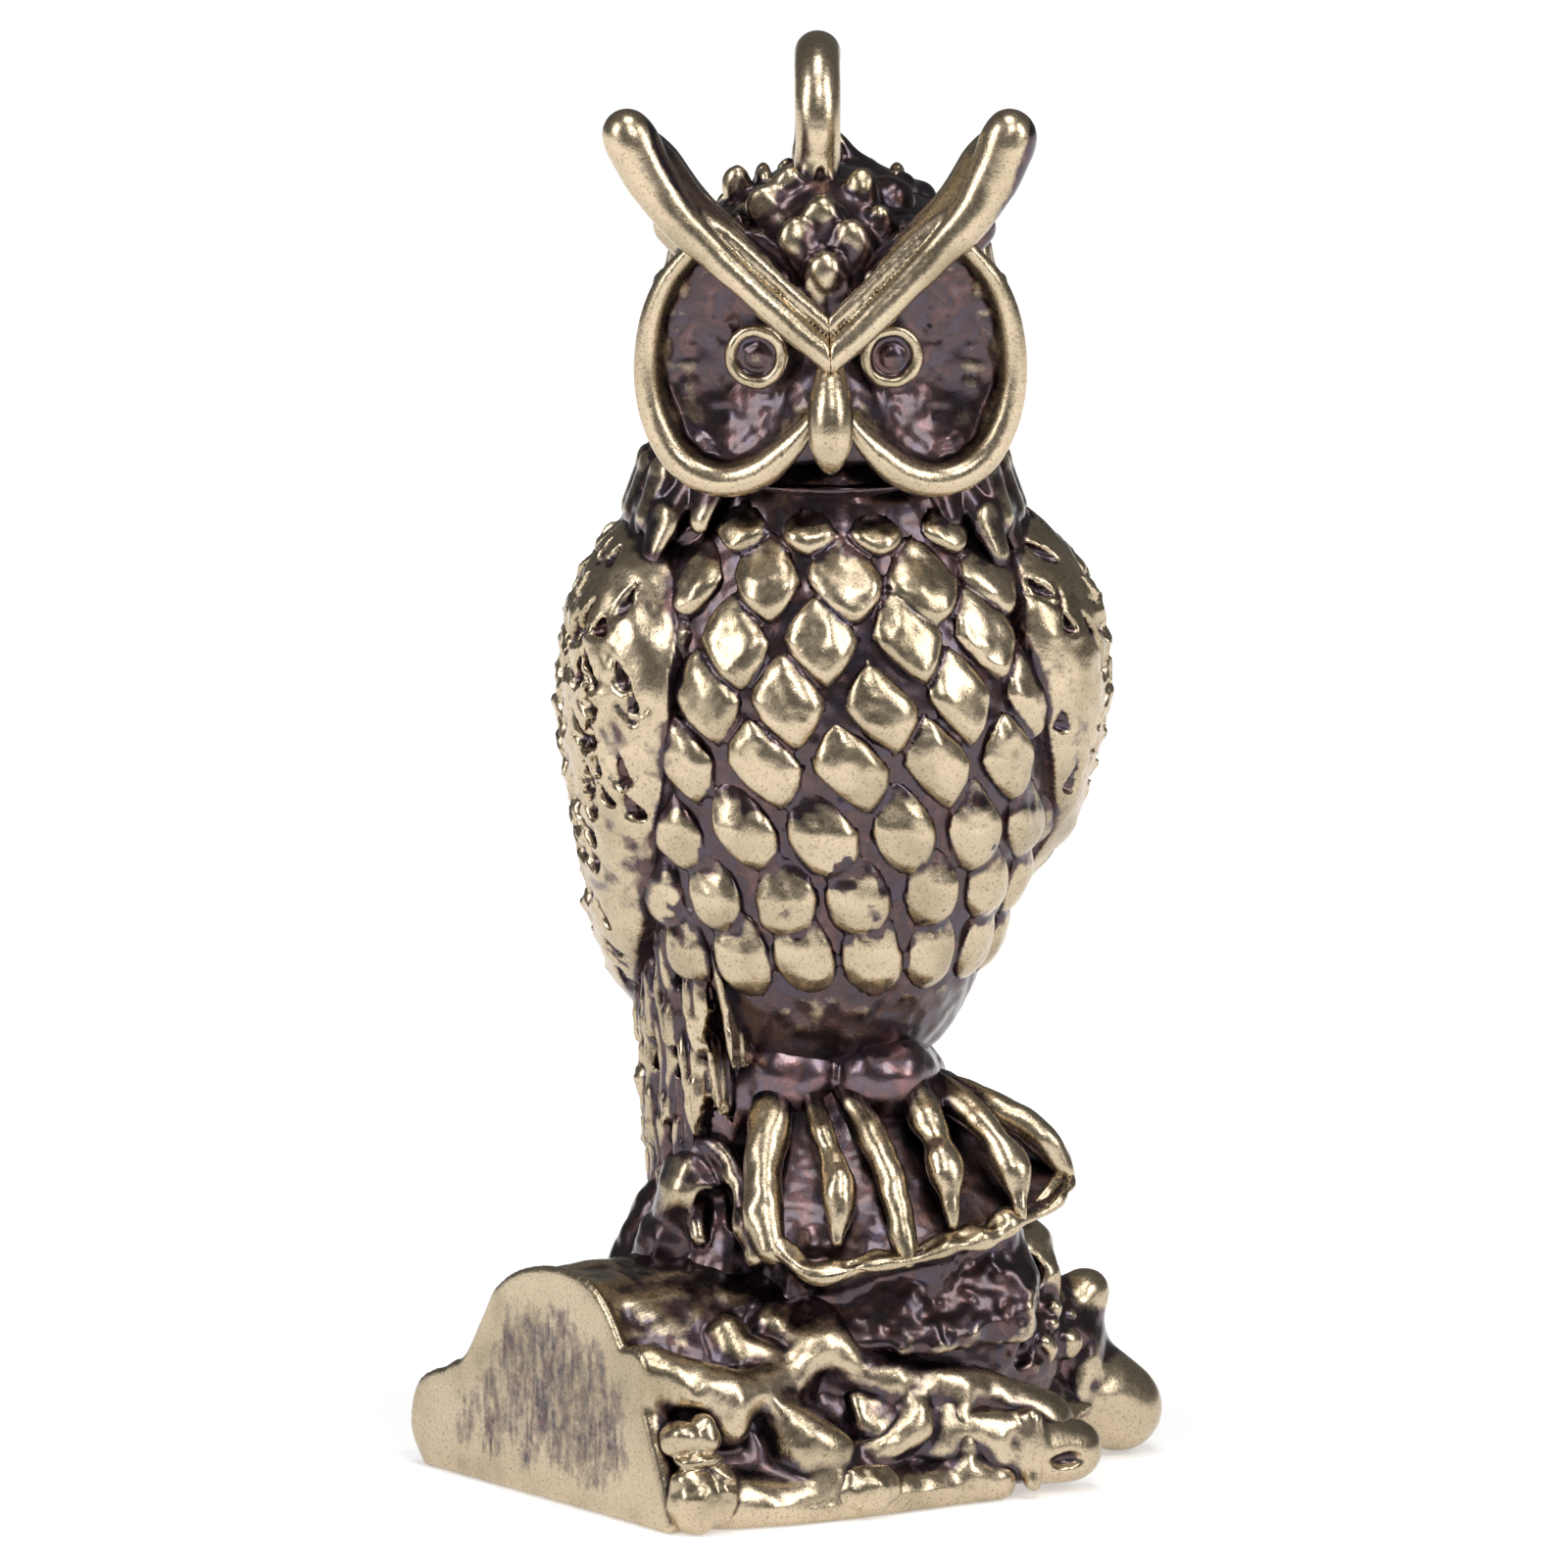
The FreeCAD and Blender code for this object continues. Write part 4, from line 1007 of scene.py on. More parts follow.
def hanging_feathers(clay, first, last, pitch, layers, seed):
    """Layers of long feathers side by side round the drum; each lower layer lies a little deeper."""
    rand = np.random.RandomState(seed)
    tables = [rand.uniform(-0.8, 0.8, 64) for _ in layers]  # how much longer or shorter each feather is

    def layered(x, y, z):
        d, a, z = np.broadcast_arrays(*drum_axes(x, y), z)
        a = np.where(a * first < 0, a + np.sign(first) * 360, a)
        height = np.full(d.shape, -0.6, np.float32)
        for n, (top, bottom, proud, start) in enumerate(layers):
            shift = pitch * 0.5 * (n % 2)
            slot = np.floor((a - shift) / pitch)
            across = ((a - shift) / pitch - slot - 0.5) * 2
            number = slot.astype(int) % 64
            end = bottom + tables[n][number]
            lean = 0.3 * np.sin(z * 1.1 + number * 1.7)
            tip = np.clip((z - end) / 1.3, 0, 1)
            wide = 0.9 * np.sqrt(np.clip(tip, 0, 1)) + 0.02
            bulge = np.clip(1 - ((across + lean * 0.35) / wide) ** 2, 0, 1)
            strip = proud + 0.62 * np.sqrt(bulge) - 0.16 * ease(0.25, 0.0, np.abs(across + lean * 0.35))
            here = (z > end) & (z < top) & (bulge > 0) & (np.abs(a) > start)
            height = np.maximum(height, np.where(here, strip, -0.6))
        low, high = min(first, last), max(first, last)
        side = np.maximum(low - a, a - high) * 0.09
        return np.maximum(np.maximum(d - height, -d - 1.3), side)

    clay.shape(layered)
    clay.trim(layers[-1][1] - clay.z, 0.3)
    clay.trim(clay.z - layers[0][0], 0.3)
    clay.raise_by(lambda x, y, z: 0.17 * noise(x, y, z * 0.6, 0.6, 7) + 0.07 * noise(x, y, z, 0.32, 8), 0.6)


def make_plumes():
    """Long flight feathers that hang from the wings' tips."""
    layers = ((16.6, 12.6, 0.35, 50), (14.9, 10.2, 0.15, 60), (12.2, 7.4, 0.0, 70))
    right = Clay("right_flight_feathers", OWL, (-6.6, -5.0, 6.6), (0.0, 6.6, 17.2), tarnish=0.25)
    hanging_feathers(right, -50, -152, 14.0, layers, 3)
    right.replaces = ["right_flight_feathers"]
    left = Clay("left_flight_feathers", OWL, (0.0, -1.4, 6.6), (6.6, 6.6, 17.2), tarnish=0.25)
    hanging_feathers(left, 126, 156, 14.0, layers, 4)
    left.replaces = ["left_flight_feathers"]
    return right, left


def make_tail():
    clay = Clay("tail", OWL, (-4.4, 0.6, 4.8), (4.4, 7.2, 17.0), tarnish=0.10)
    layers = ((16.4, 12.8, 0.5, 0), (14.8, 9.6, 0.35, 0), (12.6, 5.6, 0.2, 0))
    hanging_feathers(clay, 148, 212, 12.5, layers, 5)
    clay.replaces = ["tail"]
    return clay


def make_spur():
    """Rough spur of wood that climbs from the log to the feathers, with a small arch of root."""
    clay = Clay("rock_spur", FACE, (-7.2, -6.2, 4.0), (-0.6, 4.2, 11.8), tarnish=0.44)
    clay.tube([(-5.4, -0.6, 5.4), (-4.9, -0.6, 7.2), (-4.4, -0.6, 8.8)], [1.4, 1.05, 0.8], soft=0.2)
    clay.tube([(-4.8, -2.2, 5.4), (-4.5, -2.4, 7.2), (-4.2, -2.4, 8.5)], [1.5, 1.1, 0.7], soft=0.4)
    clay.tube([(-2.9, -3.4, 5.4), (-3.1, -3.2, 7.0), (-3.4, -2.8, 8.2)], [1.4, 1.0, 0.6], soft=0.4)
    arch = (
        (-4.5, -1.4, 9.2), (-4.0, -2.4, 9.95), (-3.2, -3.4, 9.9),
        (-2.6, -4.2, 9.1), (-2.35, -4.8, 8.0), (-2.2, -5.1, 7.2),
    )
    arch = spline(arch, 5)
    clay.tube(arch, np.linspace(0.46, 0.40, len(arch)), soft=0.5)
    clay.ball((-3.9, -2.6, 8.7), (1.2, 1.4, 1.3), 0.4)
    clay.ball((-3.35, -4.3, 8.5), (0.60, 0.9, 0.65), 0.2, carve=True)
    clay.tube([(-3.9, -3.4, 8.3), (-3.75, -4.0, 7.5)], [0.42, 0.3], soft=0.15)
    clay.raise_by(grain((0.13, 0.8, 2), (0.05, 0.36, 3)), 0.7)
    clay.replaces = ["rock_spur"]
    return clay


# ---- log ----

SAWN = (
    # outline of the sawn face, y and z
    (-5.65, 0.0), (-5.3, 0.9), (-4.7, 2.1), (-4.15, 3.3), (-3.65, 4.3), (-3.1, 5.3), (-2.3, 6.25),
    (-1.4, 6.72), (-0.3, 6.85), (0.9, 6.72), (2.1, 6.35), (3.0, 5.75), (3.7, 4.8), (4.5, 3.65), (5.3, 3.1),
    (6.2, 2.85), (7.0, 2.4), (7.35, 1.6), (7.3, 0.9), (6.6, 0.0),
)
MIDDLE = (
    # outline further along, y and z
    (-6.3, 0.0), (-6.5, 0.8), (-6.1, 1.9), (-5.4, 3.1), (-4.7, 4.3), (-3.9, 5.3), (-2.8, 6.2), (-1.5, 6.75),
    (-0.2, 6.9), (1.0, 6.8), (2.2, 6.4), (3.3, 5.7), (4.2, 4.8), (4.9, 3.8), (5.4, 2.9), (5.8, 2.1),
    (6.1, 1.5), (6.15, 1.0), (6.1, 0.5), (5.9, 0.0),
)


LOG_HOLLOWS = (
    # middle of a worn hollow, half sizes along the log, into it and round it, lean of its mouth
    ((-5.2, -4.0, 5.25), (1.9, 0.75, 1.0), -51),
    ((-6.6, -3.9, 5.3), (0.8, 0.7, 0.8), -51),
    ((-2.45, -4.75, 4.5), (0.52, 0.7, 0.85), -45),
    ((-3.2, -3.7, 5.6), (0.5, 0.5, 0.45), -60),
    ((-9.0, -3.1, 6.0), (0.35, 0.4, 0.55), -60),
    ((-8.7, -4.6, 4.35), (0.42, 0.35, 0.3), -50),
    ((-8.3, -1.9, 6.8), (0.8, 0.3, 0.5), -75),
    ((-7.9, -5.4, 3.6), (0.8, 0.5, 0.5), -35),
    ((-6.4, -5.9, 2.5), (0.9, 0.7, 1.0), -25),
    ((-5.9, -5.6, 3.45), (0.9, 0.5, 0.35), -30),
    ((-4.0, -5.6, 3.45), (0.9, 0.6, 0.45), -30),
    ((-3.2, -6.1, 2.6), (0.9, 0.6, 0.55), -25),
    ((-1.2, -6.2, 3.0), (1.0, 0.5, 0.4), -35),
    ((-2.5, -6.7, 1.1), (0.7, 0.5, 0.5), -10),
    ((-6.0, -6.5, 0.9), (0.5, 0.4, 0.4), -10),
    ((-0.7, -6.7, 1.5), (0.45, 0.5, 0.8), -10),
    ((0.85, -6.7, 2.2), (0.30, 0.5, 0.7), -15),
    ((1.8, -5.2, 4.4), (2.2, 1.1, 0.9), -45),
)
LOG_RIDGES = (
    # polished ridges and beads: points of along, across, height, radius
    ((-9.45, -5.35, 0.4, 0.5), (-9.4, -4.9, 1.7, 0.5), (-9.4, -4.3, 3.1, 0.45), (-9.4, -3.8, 4.4, 0.4)),
    (
        (-9.4, -4.3, 4.8, 0.45), (-8.2, -4.9, 4.2, 0.62), (-7.1, -5.2, 3.95, 0.55), (-5.9, -5.2, 3.95, 0.45),
        (-4.8, -5.0, 4.25, 0.42), (-3.8, -4.7, 4.85, 0.5), (-3.3, -4.3, 5.5, 0.5),
    ),
    (
        (-3.5, -4.7, 5.1, 0.45), (-2.7, -5.4, 4.1, 0.42), (-1.7, -5.8, 3.75, 0.42),
        (0.0, -6.1, 3.35, 0.45), (1.6, -6.4, 2.8, 0.5), (3.2, -6.7, 2.1, 0.55),
    ),
    ((-1.9, -4.6, 5.0, 0.4), (-1.6, -5.2, 4.3, 0.42), (-1.7, -5.7, 3.8, 0.4)),
    ((-6.2, -3.9, 5.45, 0.3), (-6.1, -4.3, 5.0, 0.34), (-5.5, -4.5, 4.75, 0.26)),
    ((-4.6, -3.9, 5.5, 0.28), (-4.3, -4.3, 5.0, 0.25)),
    ((-7.4, -5.55, 3.1, 0.36), (-7.2, -5.6, 3.15, 0.42)),
    ((-5.5, -5.9, 3.0, 0.42), (-5.1, -6.2, 2.4, 0.62), (-4.5, -6.4, 2.0, 0.62), (-4.3, -6.6, 1.5, 0.5)),
    ((-2.9, -6.6, 1.8, 0.26), (-2.2, -6.7, 2.1, 0.26), (-1.5, -6.7, 2.5, 0.42), (-1.35, -6.7, 2.75, 0.3)),
    ((0.05, -6.3, 3.1, 0.42), (0.1, -6.8, 2.2, 0.46), (0.1, -7.0, 1.2, 0.42)),
    (
        (-7.9, -6.2, 0.8, 0.5), (-6.2, -6.5, 0.55, 0.5), (-4.5, -6.7, 0.6, 0.6),
        (-2.0, -6.8, 0.55, 0.5), (1.0, -7.0, 0.6, 0.5),
    ),
)
BACK_RIDGES = (
    ((-9.4, 5.2, 2.9, 0.5), (-6.0, 5.6, 2.6, 0.5), (-2.0, 5.4, 3.0, 0.5), (2.0, 5.6, 2.2, 0.4)),
    ((-9.4, 2.9, 5.5, 0.4), (-6.5, 3.4, 5.4, 0.45), (-3.5, 3.0, 5.9, 0.4), (0.5, 3.6, 5.2, 0.4)),
    ((-8.0, 4.4, 4.2, 0.35), (-4.5, 4.8, 4.0, 0.4), (0.0, 4.6, 4.3, 0.4), (3.0, 4.2, 3.6, 0.4)),
)


def make_log():
    low = np.array(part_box("log")[0]) / MM
    clay = Clay("log", LOG, (low[0] - 0.5, -8.4, -0.5), (7.0, 8.2, 8.4), tarnish=0.10)
    first = polygon_distance(clay.y[0], clay.z[0], SAWN)
    last = polygon_distance(clay.y[0], clay.z[0], MIDDLE)
    blend = ease(-9.0, -4.5, clay.x)
    clay.field = (first[None] * (1 - blend) + last[None] * blend).astype(np.float32)
    # the far end rounds off under the burl
    clay.field = clay.field + 0.35 * np.maximum(clay.x - 1.5, 0)
    for centre, radii, lean in LOG_HOLLOWS:
        clay.ball(centre, np.array(radii) * (1, 0.8, 1), 0.3, carve=True, lean=lean)
    for path in LOG_RIDGES:
        path = spline(path, 5)
        inward = path[:, :3] * (1, 0.94, 0.94)
        clay.tube(inward, path[:, 3] + 0.30, soft=0.5)
    for path in BACK_RIDGES:
        path = spline(path, 6)
        clay.tube(path[:, :3], path[:, 3], soft=0.4)

    def bark(x, y, z):
        rough = 0.17 * noise(x * 0.7, y, z, 1.1, 1) + 0.05 * noise(x, y, z, 0.42, 2)
        return rough * ease(-9.7, -8.9, x) * (1 - 0.6 * (z < 0.6))

    clay.raise_by(bark, 0.8)
    # marks of the saw
    clay.raise_by(lambda x, y, z: 0.05 * noise(0 * x, y, z * 0.12, 0.2, 16) * ease(-9.2, -9.6, x), 0.5)
    # raised rim round the sawn end
    rim = np.array([(low[0] + 0.12, y, z) for y, z in SAWN])
    clay.tube(spline(rim, 4), 0.16, soft=0.15)
    # sawn end and flat underside
    clay.trim(low[0] - clay.x, 0.12)
    clay.trim(0.02 - clay.z, 0.1)

    def saw_dirt(x, y, z):
        face = ease(low[0] + 0.3, low[0] + 0.1, x) * ease(0.2, 1.0, 5.2 - np.hypot(y - 0.6, (z - 2.6) * 1.1))
        strokes = noise(0 * x, y, z * 0.16, 0.11, 17) + 0.5 * noise(0 * x, y, z * 0.4, 0.5, 18)
        return face * (0.05 + 0.09 * strokes)

    clay.stain_and_shade = saw_dirt
    clay.replaces = ["log"]
    return clay


def make_front_root():
    clay = Clay("root_front", LOG, (-3.2, -8.9, -0.3), (5.9, -2.6, 5.0), tarnish=0.02)
    root = (
        (-2.4, -5.2, 2.4, 1.2), (0.0, -5.7, 1.9, 1.3), (1.4, -6.2, 1.6, 1.2),
        (2.6, -6.6, 1.35, 1.08), (3.5, -6.8, 1.2, 0.98), (3.75, -6.85, 1.18, 0.92),
    )
    path = spline(root, 6)
    clay.tube(path[:, :3], path[:, 3], soft=0)
    clay.ball((3.0, -7.75, 1.05), (0.62, 0.4, 0.28), 0.1, carve=True)
    clay.tube([(1.35, -7.55, 2.4), (1.3, -7.75, 0.5)], [0.30, 0.26], soft=0.2, carve=True)
    clay.tube([(2.0, -7.3, 2.35), (1.95, -7.5, 0.5)], [0.28, 0.28], soft=0.25)
    bark = grain((0.12, 0.8, 3), (0.05, 0.4, 4))
    clay.raise_by(lambda x, y, z: bark(x, y, z) * ease(3.4, 1.6, x), 0.6)
    clay.trim(0.02 - clay.z, 0.15)
    clay.replaces = ["front_branch_stub"]
    return clay


def make_rear_root():
    clay = Clay("root_rear", LOG, (2.6, -6.0, -0.3), (10.6, 2.2, 6.4), tarnish=0.02)
    root = (
        (3.5, -1.0, 3.4, 1.8), (5.0, -1.7, 3.1, 1.75), (6.2, -2.5, 2.7, 1.6),
        (7.2, -2.9, 2.0, 1.48), (7.95, -3.05, 1.5, 1.38), (8.15, -3.1, 1.36, 1.32),
    )
    path = spline(root, 6)
    clay.tube(path[:, :3], path[:, 3], soft=0)
    for x, z, r, size in ((7.1, 2.0, 1.50, 0.34), (6.2, 2.7, 1.78, 0.45), (5.0, 3.2, 1.9, 0.3)):
        ring = []
        for t in np.linspace(0, 2 * math.pi, 25):
            s, c = math.sin(t), math.cos(t)
            ring.append((x + 0.34 * r * s, -2.3 + r * c * 0.92, z + r * s * 0.86))
        clay.tube(ring, size, soft=0.18)
    clay.ball((6.1, -2.6, 3.9), (1.6, 1.5, 1.5), 0.5)
    clay.ball((7.0, -3.0, 4.9), (0.75, 0.72, 0.75), 0.35)
    clay.ball((5.6, -3.4, 4.9), (0.5, 0.5, 0.5), 0.2)
    bark = grain((0.12, 0.8, 5), (0.05, 0.4, 6))
    clay.raise_by(lambda x, y, z: bark(x, y, z) * ease(7.9, 6.4, x), 0.6)
    clay.trim(0.02 - clay.z, 0.15)
    clay.stain_and_shade = lambda x, y, z: 0.40 * ease(2.9, 3.3, z) * ease(4.9, 4.3, z)
    clay.replaces = ["rear_branch_stub"]
    return clay


def make_burl():
    """Pitted knotty mass under the ledge."""
    clay = Clay("burl", LOG, (-1.4, -7.4, 0.0), (9.0, 6.6, 9.2), tarnish=0.34)
    clay.ball((3.2, -0.4, 3.6), (3.6, 4.8, 3.6), 0)
    clay.ball((1.4, -3.4, 3.8), (2.6, 2.2, 2.6), 0.5)
    clay.ball((4.4, -1.8, 5.4), (2.0, 2.4, 2.3), 0.6)
    clay.ball((3.0, 2.4, 3.0), (3.4, 3.2, 2.7), 0.8)
    rand = np.random.RandomState(17)
    for _ in range(40):
        a, up = rand.uniform(-1.6, 1.2), rand.uniform(-0.1, 0.95)
        r = math.sqrt(1 - up * up)
        spot = np.array([3.2 + 3.7 * math.sin(a) * r, -1.2 - 3.9 * math.cos(a) * r, 3.8 + 3.2 * up])
        clay.ball(spot, rand.uniform(0.22, 0.5), 0.2, carve=rand.rand() < 0.5)
    clay.raise_by(grain((0.14, 0.9, 7), (0.05, 0.36, 8)), 0.7)
    clay.trim(0.3 - clay.z, 0.2)
    clay.replaces = ["burl"]
    return clay


def make_knots():
    """Pruned knots at the sawn end's foot, folded and gnarled."""
    clay = Clay("knots", LOG, (-10.6, -8.2, -0.3), (-0.6, -3.6, 4.6), step=STEP * 0.7, tarnish=0.06)
    clay.ball((-9.0, -6.0, 1.0), (0.85, 0.95, 1.0), 0)
    clay.ball((-8.4, -6.2, 1.15), (0.6, 0.8, 0.95), 0.05)
    clay.ball((-9.15, -5.55, 2.75), (0.6, 0.72, 0.55), 0.05)
    clay.ball((-8.55, -5.75, 2.75), (0.55, 0.66, 0.66), 0.05)
    clay.ball((-8.8, -5.95, 2.15), (0.75, 0.6, 0.25), 0.08)
    clay.ball((-3.6, -6.9, 0.85), (1.15, 0.75, 0.72), 0.1)
    for z in (0.55, 1.45):
        clay.tube([(-9.7, -6.7, z), (-8.9, -7.1, z + 0.2), (-7.9, -6.8, z)], 0.13, soft=0.12, carve=True)
    clay.raise_by(grain((0.11, 0.6, 9), (0.04, 0.3, 10)), 0.4)
    clay.trim(0.02 - clay.z, 0.1)
    clay.replaces = ["pruned_knots"]
    return clay


# ---- rubbed and tarnished: how open each point of the surface is ----


def reach_of(clay):
    """Row-frame box round a clay's block."""
    low, high = clay.low, clay.low + clay.size * clay.step
    xs = [low[0], high[0]] + ([-low[0], -high[0]] if clay.mirror else [])
    ys, zs = (low[1], high[1]), np.linspace(low[2], high[2], 9)
    corners = np.array([(x, y, z) for x in xs for y in ys for z in zs])
    row = to_row(corners, clay.space)
    return row.min(0), row.max(0)


def whole_field(clays, step):
    """One grid of the distance to all the brass together, in the row frame."""
    boxes = [reach_of(clay) for clay in clays]
    low = np.min([b[0] for b in boxes], 0) - 1
    high = np.max([b[1] for b in boxes], 0) + 1
    whole = Clay("whole", LOG, low, high, step=step)
    whole.field[:] = 2.0
    for clay, (low, high) in zip(clays, boxes):
        cut, x, y, z = whole.window(low, high)
        shape = np.broadcast(x, y, z).shape
        for layer in range(shape[0]):
            part = np.broadcast_arrays(x[layer : layer + 1], y, z)
            points = from_row(np.stack([v.ravel() for v in part], 1), clay.space)
            d = clay.sample(points, 2.0).reshape(shape[1:])
            here = whole.field[cut][layer]
            np.minimum(here, d, out=here)
    return whole


def blurred(values, reach):
    """Three running means along each axis, close to a Gaussian."""
    for axis in range(3):
        for _ in range(3):
            pad = [(reach + 1, reach) if i == axis else (0, 0) for i in range(3)]
            total = np.cumsum(np.pad(values, pad, mode="edge"), axis, dtype=np.float64)
            count = values.shape[axis]
            ahead = total.take(range(2 * reach + 1, 2 * reach + 1 + count), axis)
            values = ((ahead - total.take(range(count), axis)) / (2 * reach + 1)).astype(np.float32)
    return values


LEVELS = ((0.35, 1), (0.8, 3), (1.8, 7))  # distance in mm that counts, and blur in voxels


def heights(whole):
    """Clays of how far points stand proud of their surroundings, near and wide."""
    out = []
    for width, reach in LEVELS:
        level = Clay("level", LOG, whole.low, whole.low, step=whole.step)
        level.size = whole.size
        level.field = blurred(np.clip(whole.field, -width, width), reach) / width
        out.append(level)
    return out


def rubbed(points, levels):
    """0 deep in the patina to 1 on the polished heights."""
    fine, middle, broad = (level.sample(points, 9) for level in levels)
    return 0.5 + 1.6 * fine + 1.0 * middle + 0.9 * broad


# ---- materials ----


class Graph:
    """Node graph of a material, with short ways to add its nodes."""

    def __init__(self, material):
        material.use_nodes = True
        self.nodes, self.links = material.node_tree.nodes, material.node_tree.links
        self.shader = self.nodes["Principled BSDF"]
        self.place = self.nodes.new("ShaderNodeTexCoord").outputs["Object"]

    def put(self, node, inputs):
        """Sets inputs, by name or number, to values or to other nodes' outputs."""
        for key, value in inputs.items():
            if isinstance(value, bpy.types.NodeSocket):
                self.links.new(value, node.inputs[key])
            else:
                node.inputs[key].default_value = value

    def add(self, kind, inputs, **settings):
        made = self.nodes.new("ShaderNode" + kind)
        for name, value in settings.items():
            setattr(made, name, value)
        self.put(made, inputs)
        return made

    def scaled(self, scale):
        """Object coordinates times a scale for each axis."""
        return self.add("Mapping", {"Vector": self.place, "Scale": scale}).outputs["Vector"]

    def noise(self, place, size, detail, rough, distort=0.0):
        kind = {"Scale": 1 / size, "Detail": detail, "Roughness": rough, "Distortion": distort}
        return self.add("TexNoise", {"Vector": place} | kind).outputs["Fac"]

    def maths(self, operation, a, b):
        return self.add("Math", {0: a, 1: b}, operation=operation).outputs[0]

    def ramp(self, value, stops):
        """Colours through stops of (position, colour)."""
        made = self.add("ValToRGB", {"Fac": value})
        elements = made.color_ramp.elements
        while len(elements) < len(stops):
            elements.new(0.5)
        for element, (position, colour) in zip(elements, stops):
            element.position = position
            element.color = (*colour, 1)
        return made.outputs["Color"]

    def mix(self, factor, a, b, blend="MIX"):
        inputs = {"Factor": factor, 6: a, 7: b}
        return self.add("Mix", inputs, data_type="RGBA", blend_type=blend).outputs[2]


RUBBED_STOPS = ((0.38, (0, 0, 0)), (0.48, (0.4, 0.4, 0.4)), (0.60, (1, 1, 1)))  # patina to bright brass
BRASS_STOPS = (
    (0.30, (0.62 * 0.62, 0.505 * 0.62, 0.36 * 0.58)),
    (0.52, (0.62 * 0.92, 0.505 * 0.92, 0.36 * 0.9)),
    (0.75, (0.62, 0.505, 0.36)),
)
SPECK_STOPS = ((0.30, (0.42, 0.36, 0.33)), (0.46, (1, 1, 1)))
# Patina colours; the light lilac-grey last stop is a painted glint, scattered where the noise runs high.
PATINA_AND_GLINT_STOPS = (
    (0.30, (0.078, 0.062, 0.088)),
    (0.50, (0.070, 0.048, 0.052)),
    (0.66, (0.130, 0.070, 0.068)),
    (0.80, (0.150, 0.130, 0.165)),
)


def antique_brass(name, worn=0.0, scratched=False, glow=1.0):
    """Brass whose hollows keep a glossy purple-brown patina and whose heights are rubbed bright.

    worn adds to how much is rubbed, scratched adds the strokes of a saw, and glow lightens the patina as
    painted light.
    """
    material = bpy.data.materials.new(name)
    graph = Graph(material)
    mm = graph.scaled((1 / MM, 1 / MM, 1 / MM))
    blotch = graph.noise(mm, 0.9, 5, 0.65, 0.4)
    fine = graph.noise(mm, 0.22, 4, 0.7)
    speck = graph.noise(mm, 0.09, 3, 0.6)

    edge = graph.add("Attribute", {}, attribute_name="rubbed").outputs["Fac"]
    for value, amount in ((blotch, 0.42), (fine, 0.34)):
        edge = graph.maths("ADD", edge, graph.maths("MULTIPLY", graph.maths("SUBTRACT", value, 0.5), amount))
    mask = graph.ramp(graph.maths("ADD", edge, worn), RUBBED_STOPS)

    brass = graph.ramp(graph.noise(mm, 2.6, 3, 0.5), BRASS_STOPS)
    brass = graph.mix(0.75, brass, graph.ramp(speck, SPECK_STOPS), "MULTIPLY")
    patina_and_glint_stops = [(position, [glow * part for part in colour]) for position, colour in PATINA_AND_GLINT_STOPS]
    # Patina colour by noise, with painted glints in lilac-grey where the noise runs high.
    patina = graph.ramp(graph.noise(mm, 0.7, 4, 0.6, 0.8), patina_and_glint_stops)

    rough_brass = graph.maths("ADD", 0.15, graph.maths("MULTIPLY", fine, 0.24))
    rough_dark = graph.maths("ADD", 0.15, graph.maths("MULTIPLY", blotch, 0.28))
    rough = graph.add("Mix", {"Factor": mask, 2: rough_dark, 3: rough_brass}, data_type="FLOAT").outputs[0]
    wet = graph.maths("MULTIPLY", graph.maths("SUBTRACT", 1.0, mask), 0.4)  # the patina is glossy as if wet

    height = graph.maths("ADD", graph.maths("MULTIPLY", fine, 0.55), graph.maths("MULTIPLY", speck, 0.25))
    if scratched:
        strokes = graph.noise(graph.scaled((200, 4200, 260)), 1.0, 5.0, 0.7)
        height = graph.maths("ADD", height, graph.maths("MULTIPLY", strokes, 1.1))
    bump = graph.add("Bump", {"Strength": 0.35, "Distance": 0.00005, "Height": height})
    looks = {"Base Color": graph.mix(mask, patina, brass), "Roughness": rough, "Metallic": 1.0}
    coat = {"Coat Weight": wet, "Coat Roughness": 0.10}
    graph.put(graph.shader, looks | coat | {"Normal": bump.outputs["Normal"]})
    return material


# ---- put together ----


def add_piece(name, points, quads, value, material, replaces):
    mesh = bpy.data.meshes.new(name)
    mesh.vertices.add(len(points))
    mesh.vertices.foreach_set("co", (points * MM).astype(np.float32).ravel())
    mesh.loops.add(quads.size)
    mesh.loops.foreach_set("vertex_index", quads.astype(np.int32).ravel())
    mesh.polygons.add(len(quads))
    mesh.polygons.foreach_set("loop_start", np.arange(0, quads.size, 4, dtype=np.int32))
    mesh.update(calc_edges=True)
    mesh.attributes.new("rubbed", "FLOAT", "POINT").data.foreach_set("value", value.astype(np.float32))
    mesh.polygons.foreach_set("use_smooth", np.ones(len(mesh.polygons), bool))
    mesh.materials.append(material)
    piece = bpy.data.objects.new(name, mesh)
    bpy.context.collection.objects.link(piece)
    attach(piece, "root")
    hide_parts(*replaces)
    return piece


MAKERS = (
    (make_torso, "oxidised_brass"),
    (make_breast, "polished_brass"),
    (make_wings, "antique_brass"),
    (make_ruff, "antique_brass"),
    (make_head, "oxidised_brass"),
    (make_crown, "antique_brass"),
    (make_discs, "antique_brass"),
    (make_eyes, "antique_brass"),
    (make_beak, "polished_brass"),
    (make_brows, "polished_brass"),
    (make_loop, "polished_brass"),
    (make_legs, "oxidised_brass"),
    (make_toes, "polished_brass"),
    (make_perch, "oxidised_brass"),
    (make_lip, "antique_brass"),
    (make_plumes, "antique_brass"),
    (make_tail, "antique_brass"),
    (make_spur, "oxidised_brass"),
    (make_log, "antique_brass"),
    (make_front_root, "antique_brass"),
    (make_rear_root, "antique_brass"),
    (make_burl, "oxidised_brass"),
    (make_knots, "polished_brass"),
)

